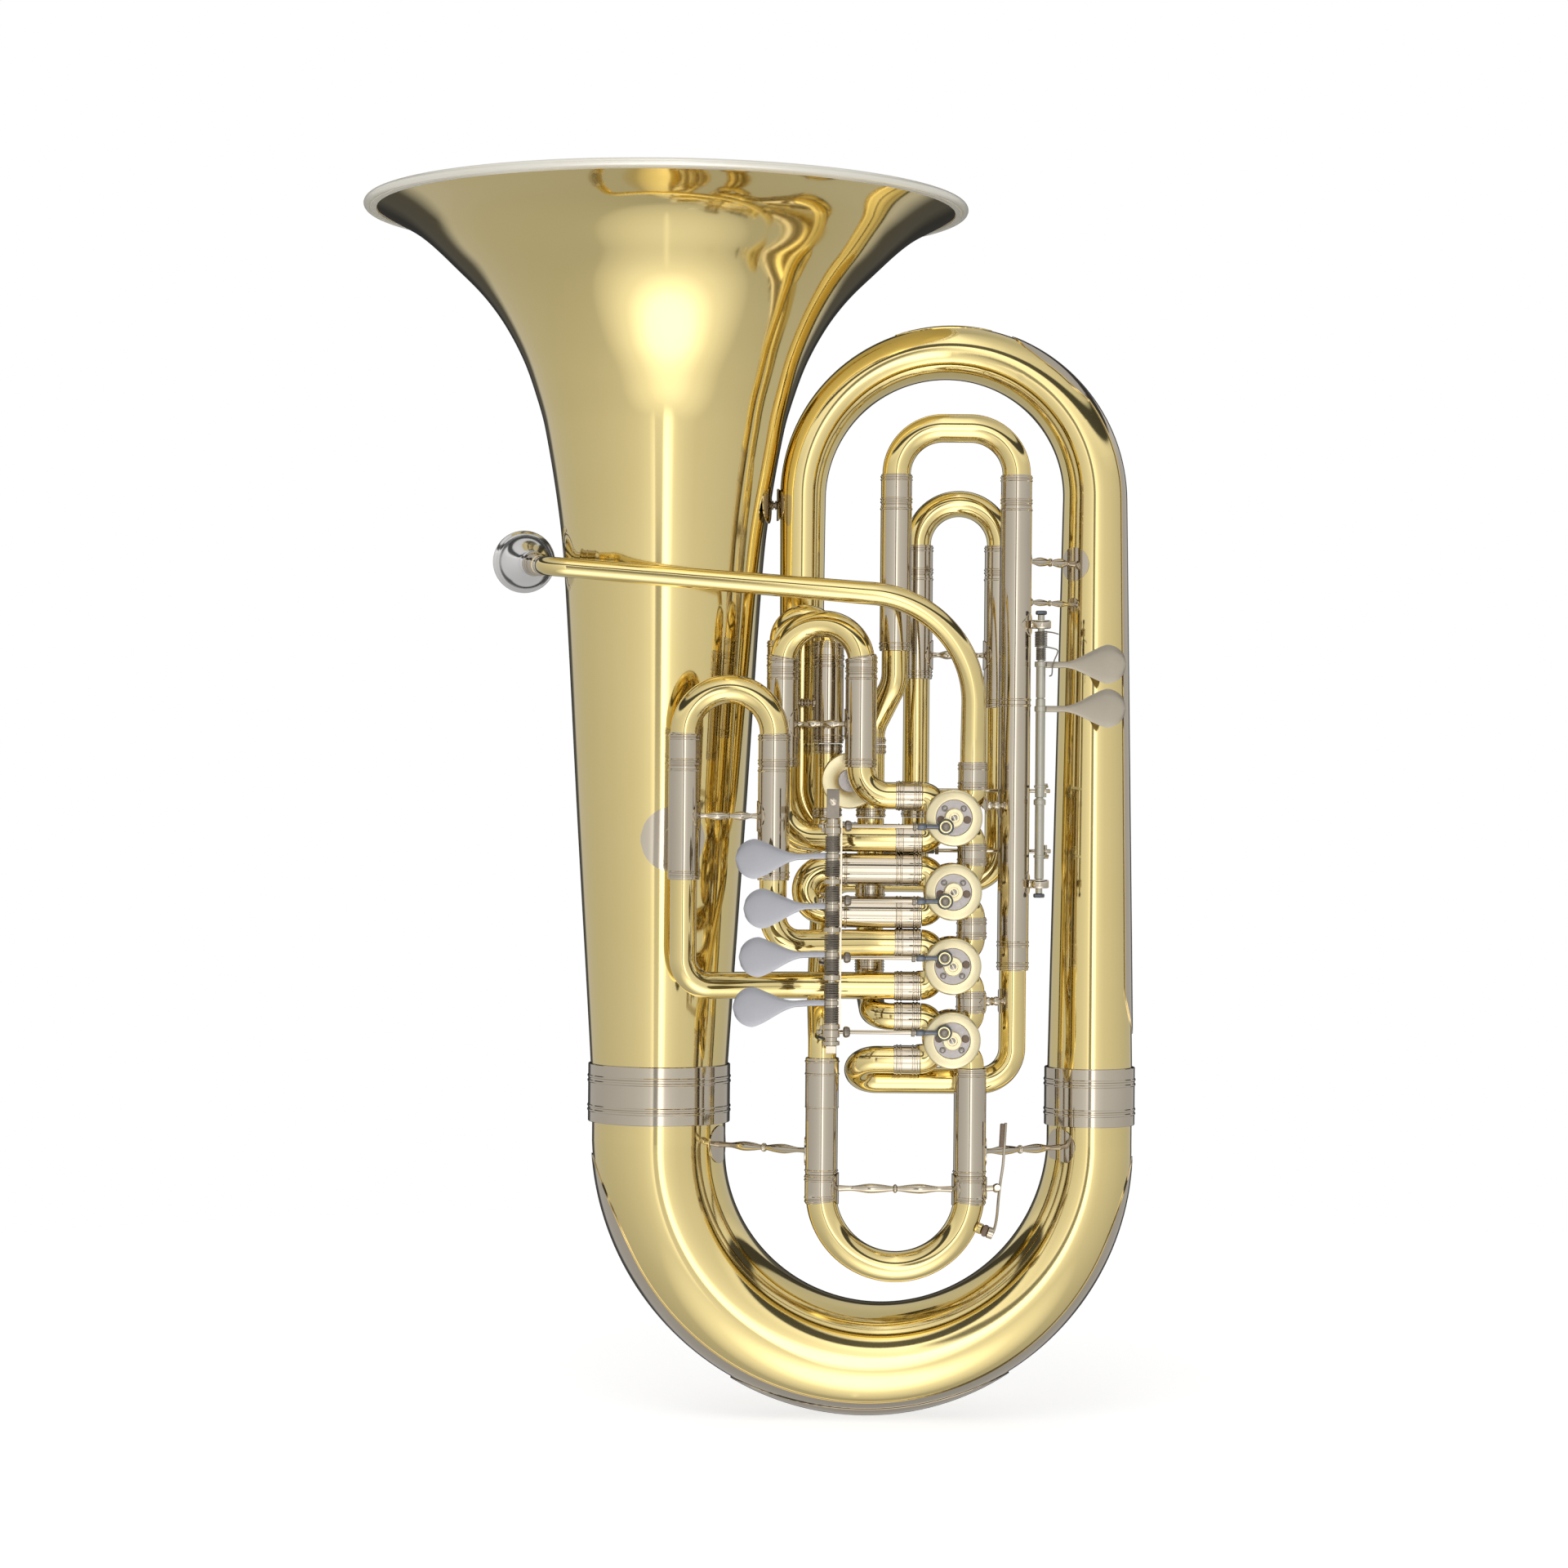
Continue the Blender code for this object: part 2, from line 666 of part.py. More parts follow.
def finger_paddles(crank_pins):
    """Four paddles on one rail, each pulling its rotor through a link."""
    radius = 29.5
    depth = link_depth(RAIL, radius)
    layout = (
        (417, 419.5, -89, (412, 446), 1), (382, 384, -83, (377, 395), 1),
        (347.6, 350, -86, (338, 356), -1), (312.3, 315.7, -90, (287.5, 322), -1),
    )
    for number, (crank_pin, row) in enumerate(zip(crank_pins, layout), 1):
        pad_z, arm_z, pad_x, (low, high), above = row
        link(number, crank_pin, RAIL[0] - CRANK_REACH, depth, 5)
        barrel = rod((*RAIL, low), (*RAIL, high), BARREL, 10)
        shapes = [
            barrel,
            *lever_parts(RAIL, radius, crank_pin.z, above, -1),
            *touch_piece(RAIL, arm_z, pad_x, pad_z),
        ]
        hole = rod((*RAIL, low - 5), (*RAIL, high + 5), BARREL_BORE, 10)
        piece(f"paddle_{number}", "satin_nickel", shapes, [hole], origin=(*RAIL, arm_z))


def paddle_rail():
    x, y = RAIL
    shapes = [
        rod((x, y, 281), (x, y, 452), RAIL_ROD, 10),
        box((x - 4.5, y - 3, 447.2), (x + 4.5, y + 3, 467)),
        box((x - 2.5, y + 1, 449), (x + 2.5, y + 66, 454)),
        box((x - 2.4, y + 48, 442.1), (x + 2.4, y + 65, 453)),
        box((x - 3.5, y - 3, 280), (x + 3.5, y + 52.5, 285.5)),
    ]
    piece("paddle_rail", "nickel", shapes)


def thumb_paddles(pin_5, pin_6):
    """Two paddles on one axis: the upper one on a long shaft, the lower one on a tube round it."""
    radius = 41.9
    link(5, pin_5, THUMB_RAIL[0] + CRANK_REACH, link_depth(THUMB_RAIL, radius), 2.8)
    shapes = [
        rod((*THUMB_RAIL, 462), (*THUMB_RAIL, 534), BARREL + 0.3, 10),
        *lever_parts(THUMB_RAIL, radius, pin_5.z, 1, 1),
        *touch_piece(THUMB_RAIL, 526.5, 165, 527.4),
    ]
    hole = rod((*THUMB_RAIL, 450), (*THUMB_RAIL, 540), BARREL_BORE + 0.1, 10)
    piece("paddle_5", "satin_nickel", shapes, [hole], origin=(*THUMB_RAIL, 526.5))
    radius = 28.4
    link(6, pin_6, THUMB_RAIL[0] + CRANK_REACH, link_depth(THUMB_RAIL, radius), 4)
    shapes = [
        rod((*THUMB_RAIL, 392), (*THUMB_RAIL, 595), RAIL_ROD, 10),
        rod((*THUMB_RAIL, 412), (*THUMB_RAIL, 430), BARREL, 10),
        rod((*THUMB_RAIL, 552), (*THUMB_RAIL, 566), BARREL, 10),
        *lever_parts(THUMB_RAIL, radius, pin_6.z, -1, 1),
        *touch_piece(THUMB_RAIL, 558.7, 165, 559.5),
    ]
    piece("paddle_6", "satin_nickel", shapes, origin=(*THUMB_RAIL, 558.7))


# ---------------------------------------------------------------- slides and their tubing

def slide_bow(name, corners, bends, inside, ferrule_length, origin, bow=TUBE, extras=()):
    """A moving slide: two legs that run inside their sleeves, two ferrules and the bow between them."""
    path = rounded(corners, bends)
    total = length_of(path)
    outer = stepped(
        (0, SLIDE_LEG), (inside, SLIDE_FERRULE), (inside + ferrule_length, bow),
        (total - inside - ferrule_length, SLIDE_FERRULE), (total - inside, SLIDE_LEG),
    )
    if extras:
        return plumbing(name, "brass", [(path, outer, SLIDE_BORE)], extras, origin=origin)
    return piece(name, "brass", [swept(path, outer, TUBE_SIDES, SLIDE_BORE)], origin=origin)


def slide(number, legs, top, bottom, sleeve_top, ferrule_length, bend, bow=TUBE):
    """An upright slide. legs are the (x, y) of its two legs; top is the height of the bow's centreline."""
    (ax, ay), (bx, by) = legs
    corners = ((ax, ay, bottom), (ax, ay, top), (bx, by, top), (bx, by, bottom))
    inside = sleeve_top + GAP - bottom
    origin = (ax, ay, sleeve_top)
    slide_bow(f"slide_{number}", corners, (bend, bend), inside, ferrule_length, origin, bow)


def to_sleeve(path, sleeve_length, port=PORT_SLEEVE_LENGTH):
    """(path, radius, bore) of a tube that starts with a port sleeve and ends in a slide's sleeve."""
    total = length_of(path)
    start = total - sleeve_length
    outer = stepped((0, PORT_SLEEVE), (port, TUBE), (start, SLEEVE))
    return path, outer, stepped((0, TUBE_BORE), (start, SLEEVE_BORE))


def cross_brace(first, second, height):
    """A rod between two upright sleeves, from wall to wall."""
    return rod((*first, height), (*second, height), BRACE, 6)


def valve_1_loop():
    right = (-14, VALVE_Y)
    left = (-70.6, -73)
    upper = rounded(((PORT_X - GAP, VALVE_Y, 462.4), (*right, 462.4), (*right, 550)), (20,))
    lower_corners = (
        (PORT_X - GAP, VALVE_Y, 431.4), (-20, VALVE_Y, 431.4), (*left, 431.4), (*left, 550),
    )
    lower = rounded(lower_corners, (60, 26))
    tubes = [to_sleeve(upper, 67.4), to_sleeve(lower, 67.4)]
    plumbing("valve_1_tubing", "brass", tubes, [cross_brace(right, left, 514)])
    slide(1, (right, left), 586.6, 488, 550, 12.6, 28)


def valve_2_loop():
    heights = (409.1, 378.1)
    tubes = []
    for height in heights:
        path = [Vector((PORT_X - GAP, VALVE_Y, height)), Vector((-27, VALVE_Y, height))]
        tubes.append((path, SLEEVE, SLEEVE_BORE))
    web = rod((-20, VALVE_Y, heights[1]), (-20, VALVE_Y, heights[0]), BRACE, 6)
    plumbing("valve_2_sleeves", "nickel", tubes, [web])
    bow_x = -53.2
    end_x = 26
    corners = (
        (end_x, VALVE_Y, heights[0]), (bow_x, VALVE_Y, heights[0]),
        (bow_x, VALVE_Y, heights[1]), (end_x, VALVE_Y, heights[1]),
    )
    slide_bow("slide_2", corners, (15.4, 15.4), 53 + GAP, 6, (-27, VALVE_Y, heights[0]))


def valve_3_loop():
    depth = -107
    right = (-76.5, depth)
    left = (-140.9, depth)
    top = 482.6
    upper_corners = ((PORT_X - GAP, VALVE_Y, 355.8), (-5, VALVE_Y, 355.8), (*right, 355.8), (*right, top))
    lower_corners = ((PORT_X - GAP, VALVE_Y, 324.8), (-60, VALVE_Y, 324.8), (*left, 324.8), (*left, top))
    upper = rounded(upper_corners, (60, 20))
    lower = rounded(lower_corners, (60, 20))
    tubes = [to_sleeve(upper, 81.6), to_sleeve(lower, 81.6)]
    plumbing("valve_3_tubing", "brass", tubes, [cross_brace(right, left, 447)])
    slide(3, (left, right), 538.1, 410, top, 23.2, 32.1, WIDE_BOW)


def valve_4_loop():
    """The long loop of the fourth valve, which also passes through the fifth valve."""
    depth = -60
    top = 674.6
    left = (11, depth)
    right = (98.7, depth)
    x5, y5, _ = VALVE_5
    port_5 = (x5 + VALVE_5_PORT, y5)
    link_corners = (
        (PORT_X - GAP, VALVE_Y, 302.5), (-3, VALVE_Y, 302.5), (*port_5, 318), (*port_5, 446 - GAP),
    )
    link_path = rounded(link_corners, (14, 14))
    link_wall = stepped((0, PORT_SLEEVE), (PORT_SLEEVE_LENGTH, TUBE))
    piece("valve_4_to_5_tube", "brass", [swept(link_path, link_wall, TUBE_SIDES, TUBE_BORE)])
    left_corners = ((*port_5, 500 + GAP), (*port_5, 512), (*left, 545), (*left, top))
    left_path, outer, bore = to_sleeve(rounded(left_corners, (25, 25)), 106.6, port=5)
    piece("slide_4_left_sleeve", "brass", [swept(left_path, outer, TUBE_SIDES, bore)])
    right_corners = (
        (PORT_X - GAP, VALVE_Y, 271.5), (-14, VALVE_Y, 271.5), (-14, -62, 255), (right[0], -61, 255),
        (*right, top),
    )
    right_tube = to_sleeve(rounded(right_corners, (14, 14, 24)), 339)
    x, y = THUMB_RAIL
    posts = [box((right[0] + 9, y - 4.5, low), (x + 5, y + 4.5, low + 6)) for low in (396, 585)]
    hole = rod((x, y, 390), (x, y, 600), BARREL_BORE, 10)
    plumbing("slide_4_right_sleeve", "nickel", [right_tube], posts, [hole])
    slide(4, (left, right), 731, 580, top, 22.1, 34, WIDE_BOW)


def valve_5_loop():
    x5, y5, _ = VALVE_5
    right = (x5 - VALVE_5_PORT, y5)
    left = (-71, y5)
    short = [Vector((*right, 500 + GAP)), Vector((*right, 560))]
    corners = ((*right, 446 - GAP), (*right, 427), (*left, 427), (*left, 560))
    long = rounded(corners, (16.7, 16.7))
    tubes = [(short, SLEEVE, SLEEVE_BORE), to_sleeve(long, 59, port=1)]
    plumbing("slide_5_tubing", "brass", tubes, [cross_brace(right, left, 530)])
    slide(5, (left, right), 592, 508, 560, 15, 16.7)


def valve_6_loop():
    x6, y6, z6 = VALVE_6
    left = (VALVE_6_TOP_X, y6)
    right = (89.7, y6)
    straight = [Vector((*left, 446 + GAP)), Vector((*left, 626))]
    bent = rounded(((42 + GAP, y6, z6 - PORT_RISE), (*right, z6 - PORT_RISE), (*right, 626)), (22,))
    tubes = [to_sleeve(straight, 77, port=5), to_sleeve(bent, 98, port=5)]
    plumbing("slide_6_tubing", "brass", tubes, [cross_brace(left, right, 567)])
    slide(6, (left, right), 679.3, 556, 626, 22, 30.5)


# ---------------------------------------------------------------- main tuning slide

def main_sleeves():
    """The main slide's two sleeves; the left one runs on as the tube that feeds the sixth valve."""
    left = (MAIN_LEFT_X, VALVE_Y)
    corners = (
        (*left, MAIN_TOP_Z), (*left, 284), (-41, -62, 316), (-38, VALVE_6[1], 400.5),
        (-12 - GAP, VALVE_6[1], 400.5),
    )
    path = rounded(corners, (15, 30, 18))
    sleeve_length = 84.2
    outer = stepped((0, MAIN_SLEEVE), (sleeve_length, MAIN_TUBE))
    bore = stepped((0, MAIN_SLEEVE_BORE), (sleeve_length, 9.1))
    brace = rod((*left, 204.5), (-114.6, -20.2, 203), BRACE, 6)
    plumbing("main_sleeve_left", "brass", [(path, outer, bore)], [brace])
    right = (KNUCKLE_X, VALVE_Y)
    path = [Vector((*right, MAIN_TOP_Z)), Vector((*right, 266 - GAP))]
    brace = rod((*right, 205), (134.4, -23, 203), BRACE, 6)
    plumbing("main_sleeve_right", "nickel", [(path, MAIN_SLEEVE, MAIN_SLEEVE_BORE)], [brace])


def main_slide():
    left = (MAIN_LEFT_X, VALVE_Y)
    right = (KNUCKLE_X, VALVE_Y)
    radius = (KNUCKLE_X - MAIN_LEFT_X) / 2
    low = 175.2 - radius
    leg_top = 260
    corners = ((*right, leg_top), (*right, low), (*left, low), (*left, leg_top))
    path = rounded(corners, (radius, radius), math.radians(22.5))
    total = length_of(path)
    inside = leg_top - MAIN_TOP_Z + GAP
    ferrule_length = 20
    outer = stepped(
        (0, MAIN_LEG), (inside, MAIN_SLEEVE), (inside + ferrule_length, MAIN_BOW),
        (total - inside - ferrule_length, MAIN_SLEEVE), (total - inside, MAIN_LEG),
    )
    hinge_x = 84
    hinge_z = 179
    extras = [
        cross_brace(right, left, 178),
        box((KNUCKLE_X + 8, VALVE_Y - 2, hinge_z - 2.5), (hinge_x + 2, VALVE_Y + 2, hinge_z + 2.5)),
        rod((hinge_x, VALVE_Y - 6, hinge_z), (hinge_x, VALVE_Y + 1, hinge_z), 1.2),
        rod((KNUCKLE_X - 6, VALVE_Y, 149), (KNUCKLE_X + 8.4, VALVE_Y, 149), 3, 8),
    ]
    plumbing("main_slide", "brass", [(path, outer, 9.6)], extras, origin=(*right, MAIN_TOP_Z))
    water_key(hinge_x, hinge_z)


def water_key(hinge_x, hinge_z):
    """A sprung lever that lifts its pad off the drain hole when its upper end is pressed inwards."""
    front = VALVE_Y - 5
    back = VALVE_Y - 2.6
    upper = [
        (hinge_x + 2.4, hinge_z - 2), (hinge_x + 3, hinge_z + 8), (91.4, 206), (93, 227),
        (91, 227), (89.4, 206), (hinge_x - 1.6, hinge_z + 8), (hinge_x - 2.4, hinge_z - 2),
    ]
    lower = [
        (hinge_x - 2.4, hinge_z + 1), (hinge_x + 2.4, hinge_z + 1), (hinge_x + 1.6, 146),
        (hinge_x - 2.2, 146),
    ]
    seat = [(hinge_x - 2, 144.5), (hinge_x + 1.6, 144.5), (hinge_x + 1.6, 153.5), (hinge_x - 2, 153.5)]
    shapes = [
        front_plate(upper, front, back),
        front_plate(lower, front + 0.1, back - 0.1),
        front_plate(seat, front + 0.3, VALVE_Y + 3),
        rod((hinge_x - 6, VALVE_Y, 149), (hinge_x - 1, VALVE_Y, 149), 4, 10),
    ]
    hole = rod((hinge_x, VALVE_Y - 8, hinge_z), (hinge_x, VALVE_Y, hinge_z), 1.6)
    piece("water_key", "nickel", shapes, [hole], origin=(hinge_x, VALVE_Y, hinge_z))


def bell_radius(height):
    return read_table([(level, radius) for radius, level in BELL_PROFILE], height)


def bell_brace():
    """The stay between the bell and the third slide's left sleeve, with a round plate bent to the bell."""
    middle = math.radians(-80)
    height = 433
    disc = 24
    rings = []
    for step in range(-3, 4):
        across = disc * step / 3.2
        half = math.sqrt(disc**2 - across**2)
        turn = middle + across / bell_radius(height)
        outward = Vector((math.cos(turn), math.sin(turn), 0))
        axis = Vector((-LIMB_X, 0, height))
        inner = [
            axis + Z_AXIS * rise + outward * (bell_radius(height + rise) + 0.5) for rise in (-half, half)
        ]
        rings.append(inner + [point + outward * 1.6 for point in inner[::-1]])
    reach = bell_radius(height) + 1.4
    foot = Vector((-LIMB_X + reach * math.cos(middle), reach * math.sin(middle), height))
    stay = rod(foot, (-142.5, -94.8, height), 2.2, 8)
    piece("bell_brace", "nickel", [skin(rings), stay])


def build():
    clear_scene()
    bell()
    ferrule("bell_ferrule", -LIMB_X, 51.8, 1.2, BELL_SIDES)
    ferrule("branch_ferrule", LIMB_X, 32.6, 1.2, BOW_SIDES)
    bottom_bow()
    foot_plate()
    main_branch()
    leadpipe()
    receiver_and_mouthpiece()
    valve_block()
    casing_5()
    casing_6()
    pin_turns = (225, 225, 135, 135)
    pins = [
        valve_set(number, (VALVE_X, VALVE_Y, z), 18, 6.7, -1, turn, 10)
        for number, (z, turn) in enumerate(zip(VALVE_Z, pin_turns), 1)
    ]
    pin_5 = valve_set(5, VALVE_5, 13, 2.6, 1, 315, 6)
    pin_6 = valve_set(6, VALVE_6, 18, 3.7, -1, 45, 6.5)
    paddle_rail()
    finger_paddles(pins)
    thumb_paddles(pin_5, pin_6)
    valve_1_loop()
    valve_2_loop()
    valve_3_loop()
    valve_4_loop()
    valve_5_loop()
    valve_6_loop()
    main_sleeves()
    main_slide()
    bell_brace()


build()
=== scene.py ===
"""The finished look of the six-valve tuba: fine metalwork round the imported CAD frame.

Lengths are in millimetres and become metres when an object is made. The frame is the CAD frame:
+X towards the main branch, +Y away from the valves, +Z up, origin under the foot plate.
"""

import math

import bmesh
import bpy
from mathutils import Matrix, Vector


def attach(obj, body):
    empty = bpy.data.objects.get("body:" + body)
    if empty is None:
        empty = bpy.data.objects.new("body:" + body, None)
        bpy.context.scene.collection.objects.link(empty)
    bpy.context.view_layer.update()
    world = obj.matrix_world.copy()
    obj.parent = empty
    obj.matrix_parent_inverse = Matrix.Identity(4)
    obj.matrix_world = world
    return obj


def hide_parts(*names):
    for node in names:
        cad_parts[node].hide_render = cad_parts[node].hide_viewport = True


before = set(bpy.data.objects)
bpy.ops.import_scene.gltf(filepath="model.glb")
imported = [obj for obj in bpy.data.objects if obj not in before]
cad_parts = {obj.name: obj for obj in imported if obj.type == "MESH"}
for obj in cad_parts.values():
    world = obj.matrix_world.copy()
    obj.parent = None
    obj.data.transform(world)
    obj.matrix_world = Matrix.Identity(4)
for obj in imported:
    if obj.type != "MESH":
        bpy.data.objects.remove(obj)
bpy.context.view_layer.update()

MM = 0.001
X_AXIS = Vector((1, 0, 0))
Y_AXIS = Vector((0, 1, 0))
Z_AXIS = Vector((0, 0, 1))
SHARP_ANGLE = math.radians(38)
BEND_STEP = math.radians(4)
SIDES = 48

# Bell, bow and branch
LIMB_X = 160.5
BELL_PROFILE = (
    (50.6, 240.2), (51.2, 262), (62.8, 444.5), (73.1, 616), (77.9, 667), (89, 733), (96.8, 760.5),
    (106, 785), (119.8, 810.5), (135, 831), (153.2, 849.5), (185, 878), (218.1, 896.2),
)
RIM_RADIUS = 221.8
RIM_Z = 897.6
FERRULE_LOW = 218.5
FERRULE_HIGH = 261.5
JOINT_Z = 240
BOW_Z = 204.7
BOW_RADII = (49.7, 40.5, 31.6)
LOOP_Z = 683.8
BRANCH_LEFT_X = -57

# A raised ring: (distance along, rise) round its middle
BEAD = ((-0.8, 0), (-0.35, 0.5), (0.35, 0.5), (0.8, 0))
WIDE_BEAD = ((-1.1, 0), (-0.5, 0.55), (0.5, 0.55), (1.1, 0))

# Wall of every tube, and how far a ring's bore lies inside the tube that it sits on
WALL = 0.8
SUNK = 0.9

# Tubing: radii of the tubes, the fixed sleeves, the ferrules and the legs that slide in the sleeves
TUBE = 9.75
PORT = 10.4
SLEEVE = 11.4
SLEEVE_BORE = 10.75
LEG = 10.4
FERRULE = 11.3
MAIN_SLEEVE = 11.75
MAIN_SLEEVE_BORE = 11.1
MAIN_LEG = 10.8
MAIN_BOW = 11.2
MAIN_TUBE = 10.2

# Valves
VALVE_X = 53
VALVE_Z = (446.9, 393.6, 340.3, 287.0)
VALVE_Y = -85
PORT_RISE = 15.5
PORT_START = 30.7
KNUCKLE_X = 67.3
CASING = 19.5
HALF_DEPTH = 18
HALF_DEPTH_5 = 13
CAP = 20.5
CRANK = 9
CRANK_REACH = CRANK * math.sqrt(0.5)
VALVE_5 = (-21.5, -48, 473.0)
VALVE_6 = (14.9, -12, 416.0)

# Paddles
RAIL = (-34.5, -150)
THUMB_RAIL = (117, -68)
PAD = 14.2

# Places of sleeves that other parts are tied to
SLIDE_3_LEFT = (-140.9, -107)
SLIDE_4_RIGHT = (98.7, -60)

# Mouthpiece
MOUTHPIECE_RIM = Vector((-267, 30, 636))
MOUTHPIECE_AXIS = Vector((17, -90, -7)).normalized()

# Studio, in metres, millimetre lens and watts; the floor in millimetres
CAMERA_PLACE = (-0.0693, -2.869, 0.4702)
CAMERA_ROLL = math.radians(0.5)
CAMERA_SENSOR = 36
CAMERA_LENS = 88.3
LAMP_PLACE = (-0.5, -0.9, 2.4)
LAMP_HEADING = Vector((0.5, 0.9, -1.9))
LAMP_SIZE = (1.8, 1.2)
LAMP_POWER = 9
FLOOR_Z = -0.6
FLOOR_RADIUS = 1400
FLOOR_SIDES = 96
FLOOR_GREY = 0.62
FLOOR_GLOW = 0.67


# ---------------------------------------------------------------- materials

def metal(name, light, dark, roughness, coat=0.0, scale=18.0, bump=0.0, metallic=1.0):
    """A metal whose colour and polish vary a little over its surface, with fine handling marks."""
    material = bpy.data.materials.new(name)
    material.use_nodes = True
    tree = material.node_tree
    shader = tree.nodes["Principled BSDF"]
    place = tree.nodes.new("ShaderNodeTexCoord")
    clouds = tree.nodes.new("ShaderNodeTexNoise")
    fine = tree.nodes.new("ShaderNodeTexNoise")
    tint = tree.nodes.new("ShaderNodeMix")
    tint.data_type = "RGBA"
    polish = tree.nodes.new("ShaderNodeMapRange")
    relief = tree.nodes.new("ShaderNodeBump")
    settings = (
        (shader, "Metallic", metallic), (shader, "Coat Weight", coat),
        (shader, "Coat Roughness", 0.04), (shader, "Coat IOR", 1.5),
        (clouds, "Scale", scale), (clouds, "Detail", 4),
        (fine, "Scale", 900), (fine, "Detail", 3),
        (tint, "A", (*light, 1)), (tint, "B", (*dark, 1)),
        (polish, "To Min", roughness * 0.75), (polish, "To Max", roughness * 1.3),
        (relief, "Strength", bump), (relief, "Distance", 0.0002),
    )
    for node, socket, value in settings:
        node.inputs[socket].default_value = value
    wires = (
        (place, "Object", clouds, "Vector"), (place, "Object", fine, "Vector"),
        (clouds, "Fac", tint, "Factor"), (tint, "Result", shader, "Base Color"),
        (fine, "Fac", polish, "Value"), (polish, "Result", shader, "Roughness"),
        (fine, "Fac", relief, "Height"), (relief, "Normal", shader, "Normal"),
    )
    for source, output, target, socket in wires:
        tree.links.new(source.outputs[output], target.inputs[socket])
    return material


MATERIALS = {
    "brass": metal("lacquered_brass", (0.86, 0.70, 0.32), (0.83, 0.665, 0.275), 0.07, coat=0.6, bump=0.012),
    "nickel": metal("nickel_silver", (0.63, 0.56, 0.45), (0.56, 0.49, 0.385), 0.075, coat=0.3, bump=0.015),
    "pale": metal("satin_brass", (0.90, 0.80, 0.53), (0.86, 0.75, 0.46), 0.3, scale=40, bump=0.06),
    "satin": metal("satin_nickel", (0.475, 0.475, 0.50), (0.43, 0.43, 0.455), 0.42, scale=60, bump=0.1),
    "thumb": metal("satin_thumb_pad", (0.46, 0.41, 0.33), (0.42, 0.375, 0.30), 0.4, scale=60, bump=0.1),
    "shaft": metal("drawn_shaft", (0.60, 0.575, 0.49), (0.53, 0.51, 0.43), 0.34, scale=80, bump=0.05),
    "silver": metal("silver_plate", (0.94, 0.93, 0.91), (0.90, 0.885, 0.86), 0.14, scale=30, bump=0.01),
    "rim": metal(
        "rim_wire", (0.93, 0.90, 0.81), (0.89, 0.85, 0.73), 0.34, coat=0.3, bump=0.01, metallic=0.45,
    ),
    "plate": metal("brushed_plate", (0.49, 0.455, 0.43), (0.39, 0.355, 0.34), 0.3, scale=300, bump=0.12),
    "steel": metal("blued_steel", (0.20, 0.215, 0.245), (0.14, 0.155, 0.18), 0.3, scale=120, bump=0.05),
    "spring": metal("spring_steel", (0.33, 0.29, 0.24), (0.24, 0.21, 0.175), 0.3, scale=200, bump=0.05),
    "cork": metal("cork", (0.26, 0.19, 0.14), (0.17, 0.12, 0.085), 0.8, scale=500, bump=0.9, metallic=0.0),
}


# ---------------------------------------------------------------- shapes, as pairs of points and faces

def skin(rings, wrapped=False):
    """A surface over rings of points: wrapped, the last ring joins the first, else both ends are capped."""
    count = len(rings[0])
    rows = len(rings)
    points = [point for ring in rings for point in ring]
    faces = []
    for row in range(rows if wrapped else rows - 1):
        near = row * count
        far = (row + 1) % rows * count
        for index in range(count):
            after = (index + 1) % count
            faces.append((near + index, near + after, far + after, far + index))
    if not wrapped:
        faces.append(tuple(range(count)))
        faces.append(tuple(range((rows - 1) * count, rows * count)))
    return points, faces


def joined(shapes):
    points = []
    faces = []
    for more_points, more_faces in shapes:
        start = len(points)
        points += more_points
        faces += [tuple(start + index for index in face) for face in more_faces]
    return points, faces


def circle(centre, across, up, radius, sides):
    turns = (2 * math.pi * side / sides for side in range(sides))
    return [centre + (across * math.cos(turn) + up * math.sin(turn)) * radius for turn in turns]


def turned(profile, base, axis, sides=SIDES, wrapped=False):
    """A body turned about an axis from (radius, height) pairs."""
    base = Vector(base)
    axis = Vector(axis).normalized()
    across = axis.orthogonal().normalized()
    up = axis.cross(across)
    rings = [circle(base + axis * height, across, up, radius, sides) for radius, height in profile]
    return skin(rings, wrapped)


def rod(start, end, radius, sides=24, edge=0.25):
    """A round rod with slightly broken edges."""
    start = Vector(start)
    run = Vector(end) - start
    high = run.length
    profile = ((radius - edge, 0), (radius, edge), (radius, high - edge), (radius - edge, high))
    return turned(profile, start, run, sides)


def arc(centre, radius, first, last, steps):
    a, b = centre
    turns = (first + (last - first) * step / steps for step in range(steps + 1))
    return [(a + radius * math.cos(turn), b + radius * math.sin(turn)) for turn in turns]


def teardrop(start, end, start_radius, end_radius):
    """The outline round two circles of different size."""
    run = Vector(end) - Vector(start)
    heading = math.atan2(run.y, run.x)
    lean = math.acos((start_radius - end_radius) / run.length)
    far_side = arc(end, end_radius, heading - lean, heading + lean, 20)
    near_side = arc(start, start_radius, heading + lean, heading - lean + 2 * math.pi, 20)
    return far_side + near_side


def slab(outline, place, low, high, edge=0.3):
    """A plate from an outline of pairs, with broken edges; place turns a pair and a height into a point."""
    middle_a = sum(a for a, _ in outline) / len(outline)
    middle_b = sum(b for _, b in outline) / len(outline)
    reach = max(math.hypot(a - middle_a, b - middle_b) for a, b in outline)
    shrink = 1 - edge / reach
    inner = [(middle_a + (a - middle_a) * shrink, middle_b + (b - middle_b) * shrink) for a, b in outline]
    step = edge if high > low else -edge
    layers = ((inner, low), (outline, low + step), (outline, high - step), (inner, high))
    return skin([[place(a, b, height) for a, b in layer] for layer, height in layers])


def facing(a, b, depth):
    return Vector((a, depth, b))


def level(a, b, height):
    return Vector((a, b, height))


def block(low, high):
    corners = [(low[0], low[1]), (high[0], low[1]), (high[0], high[1]), (low[0], high[1])]
    return slab(corners, level, low[2], high[2])


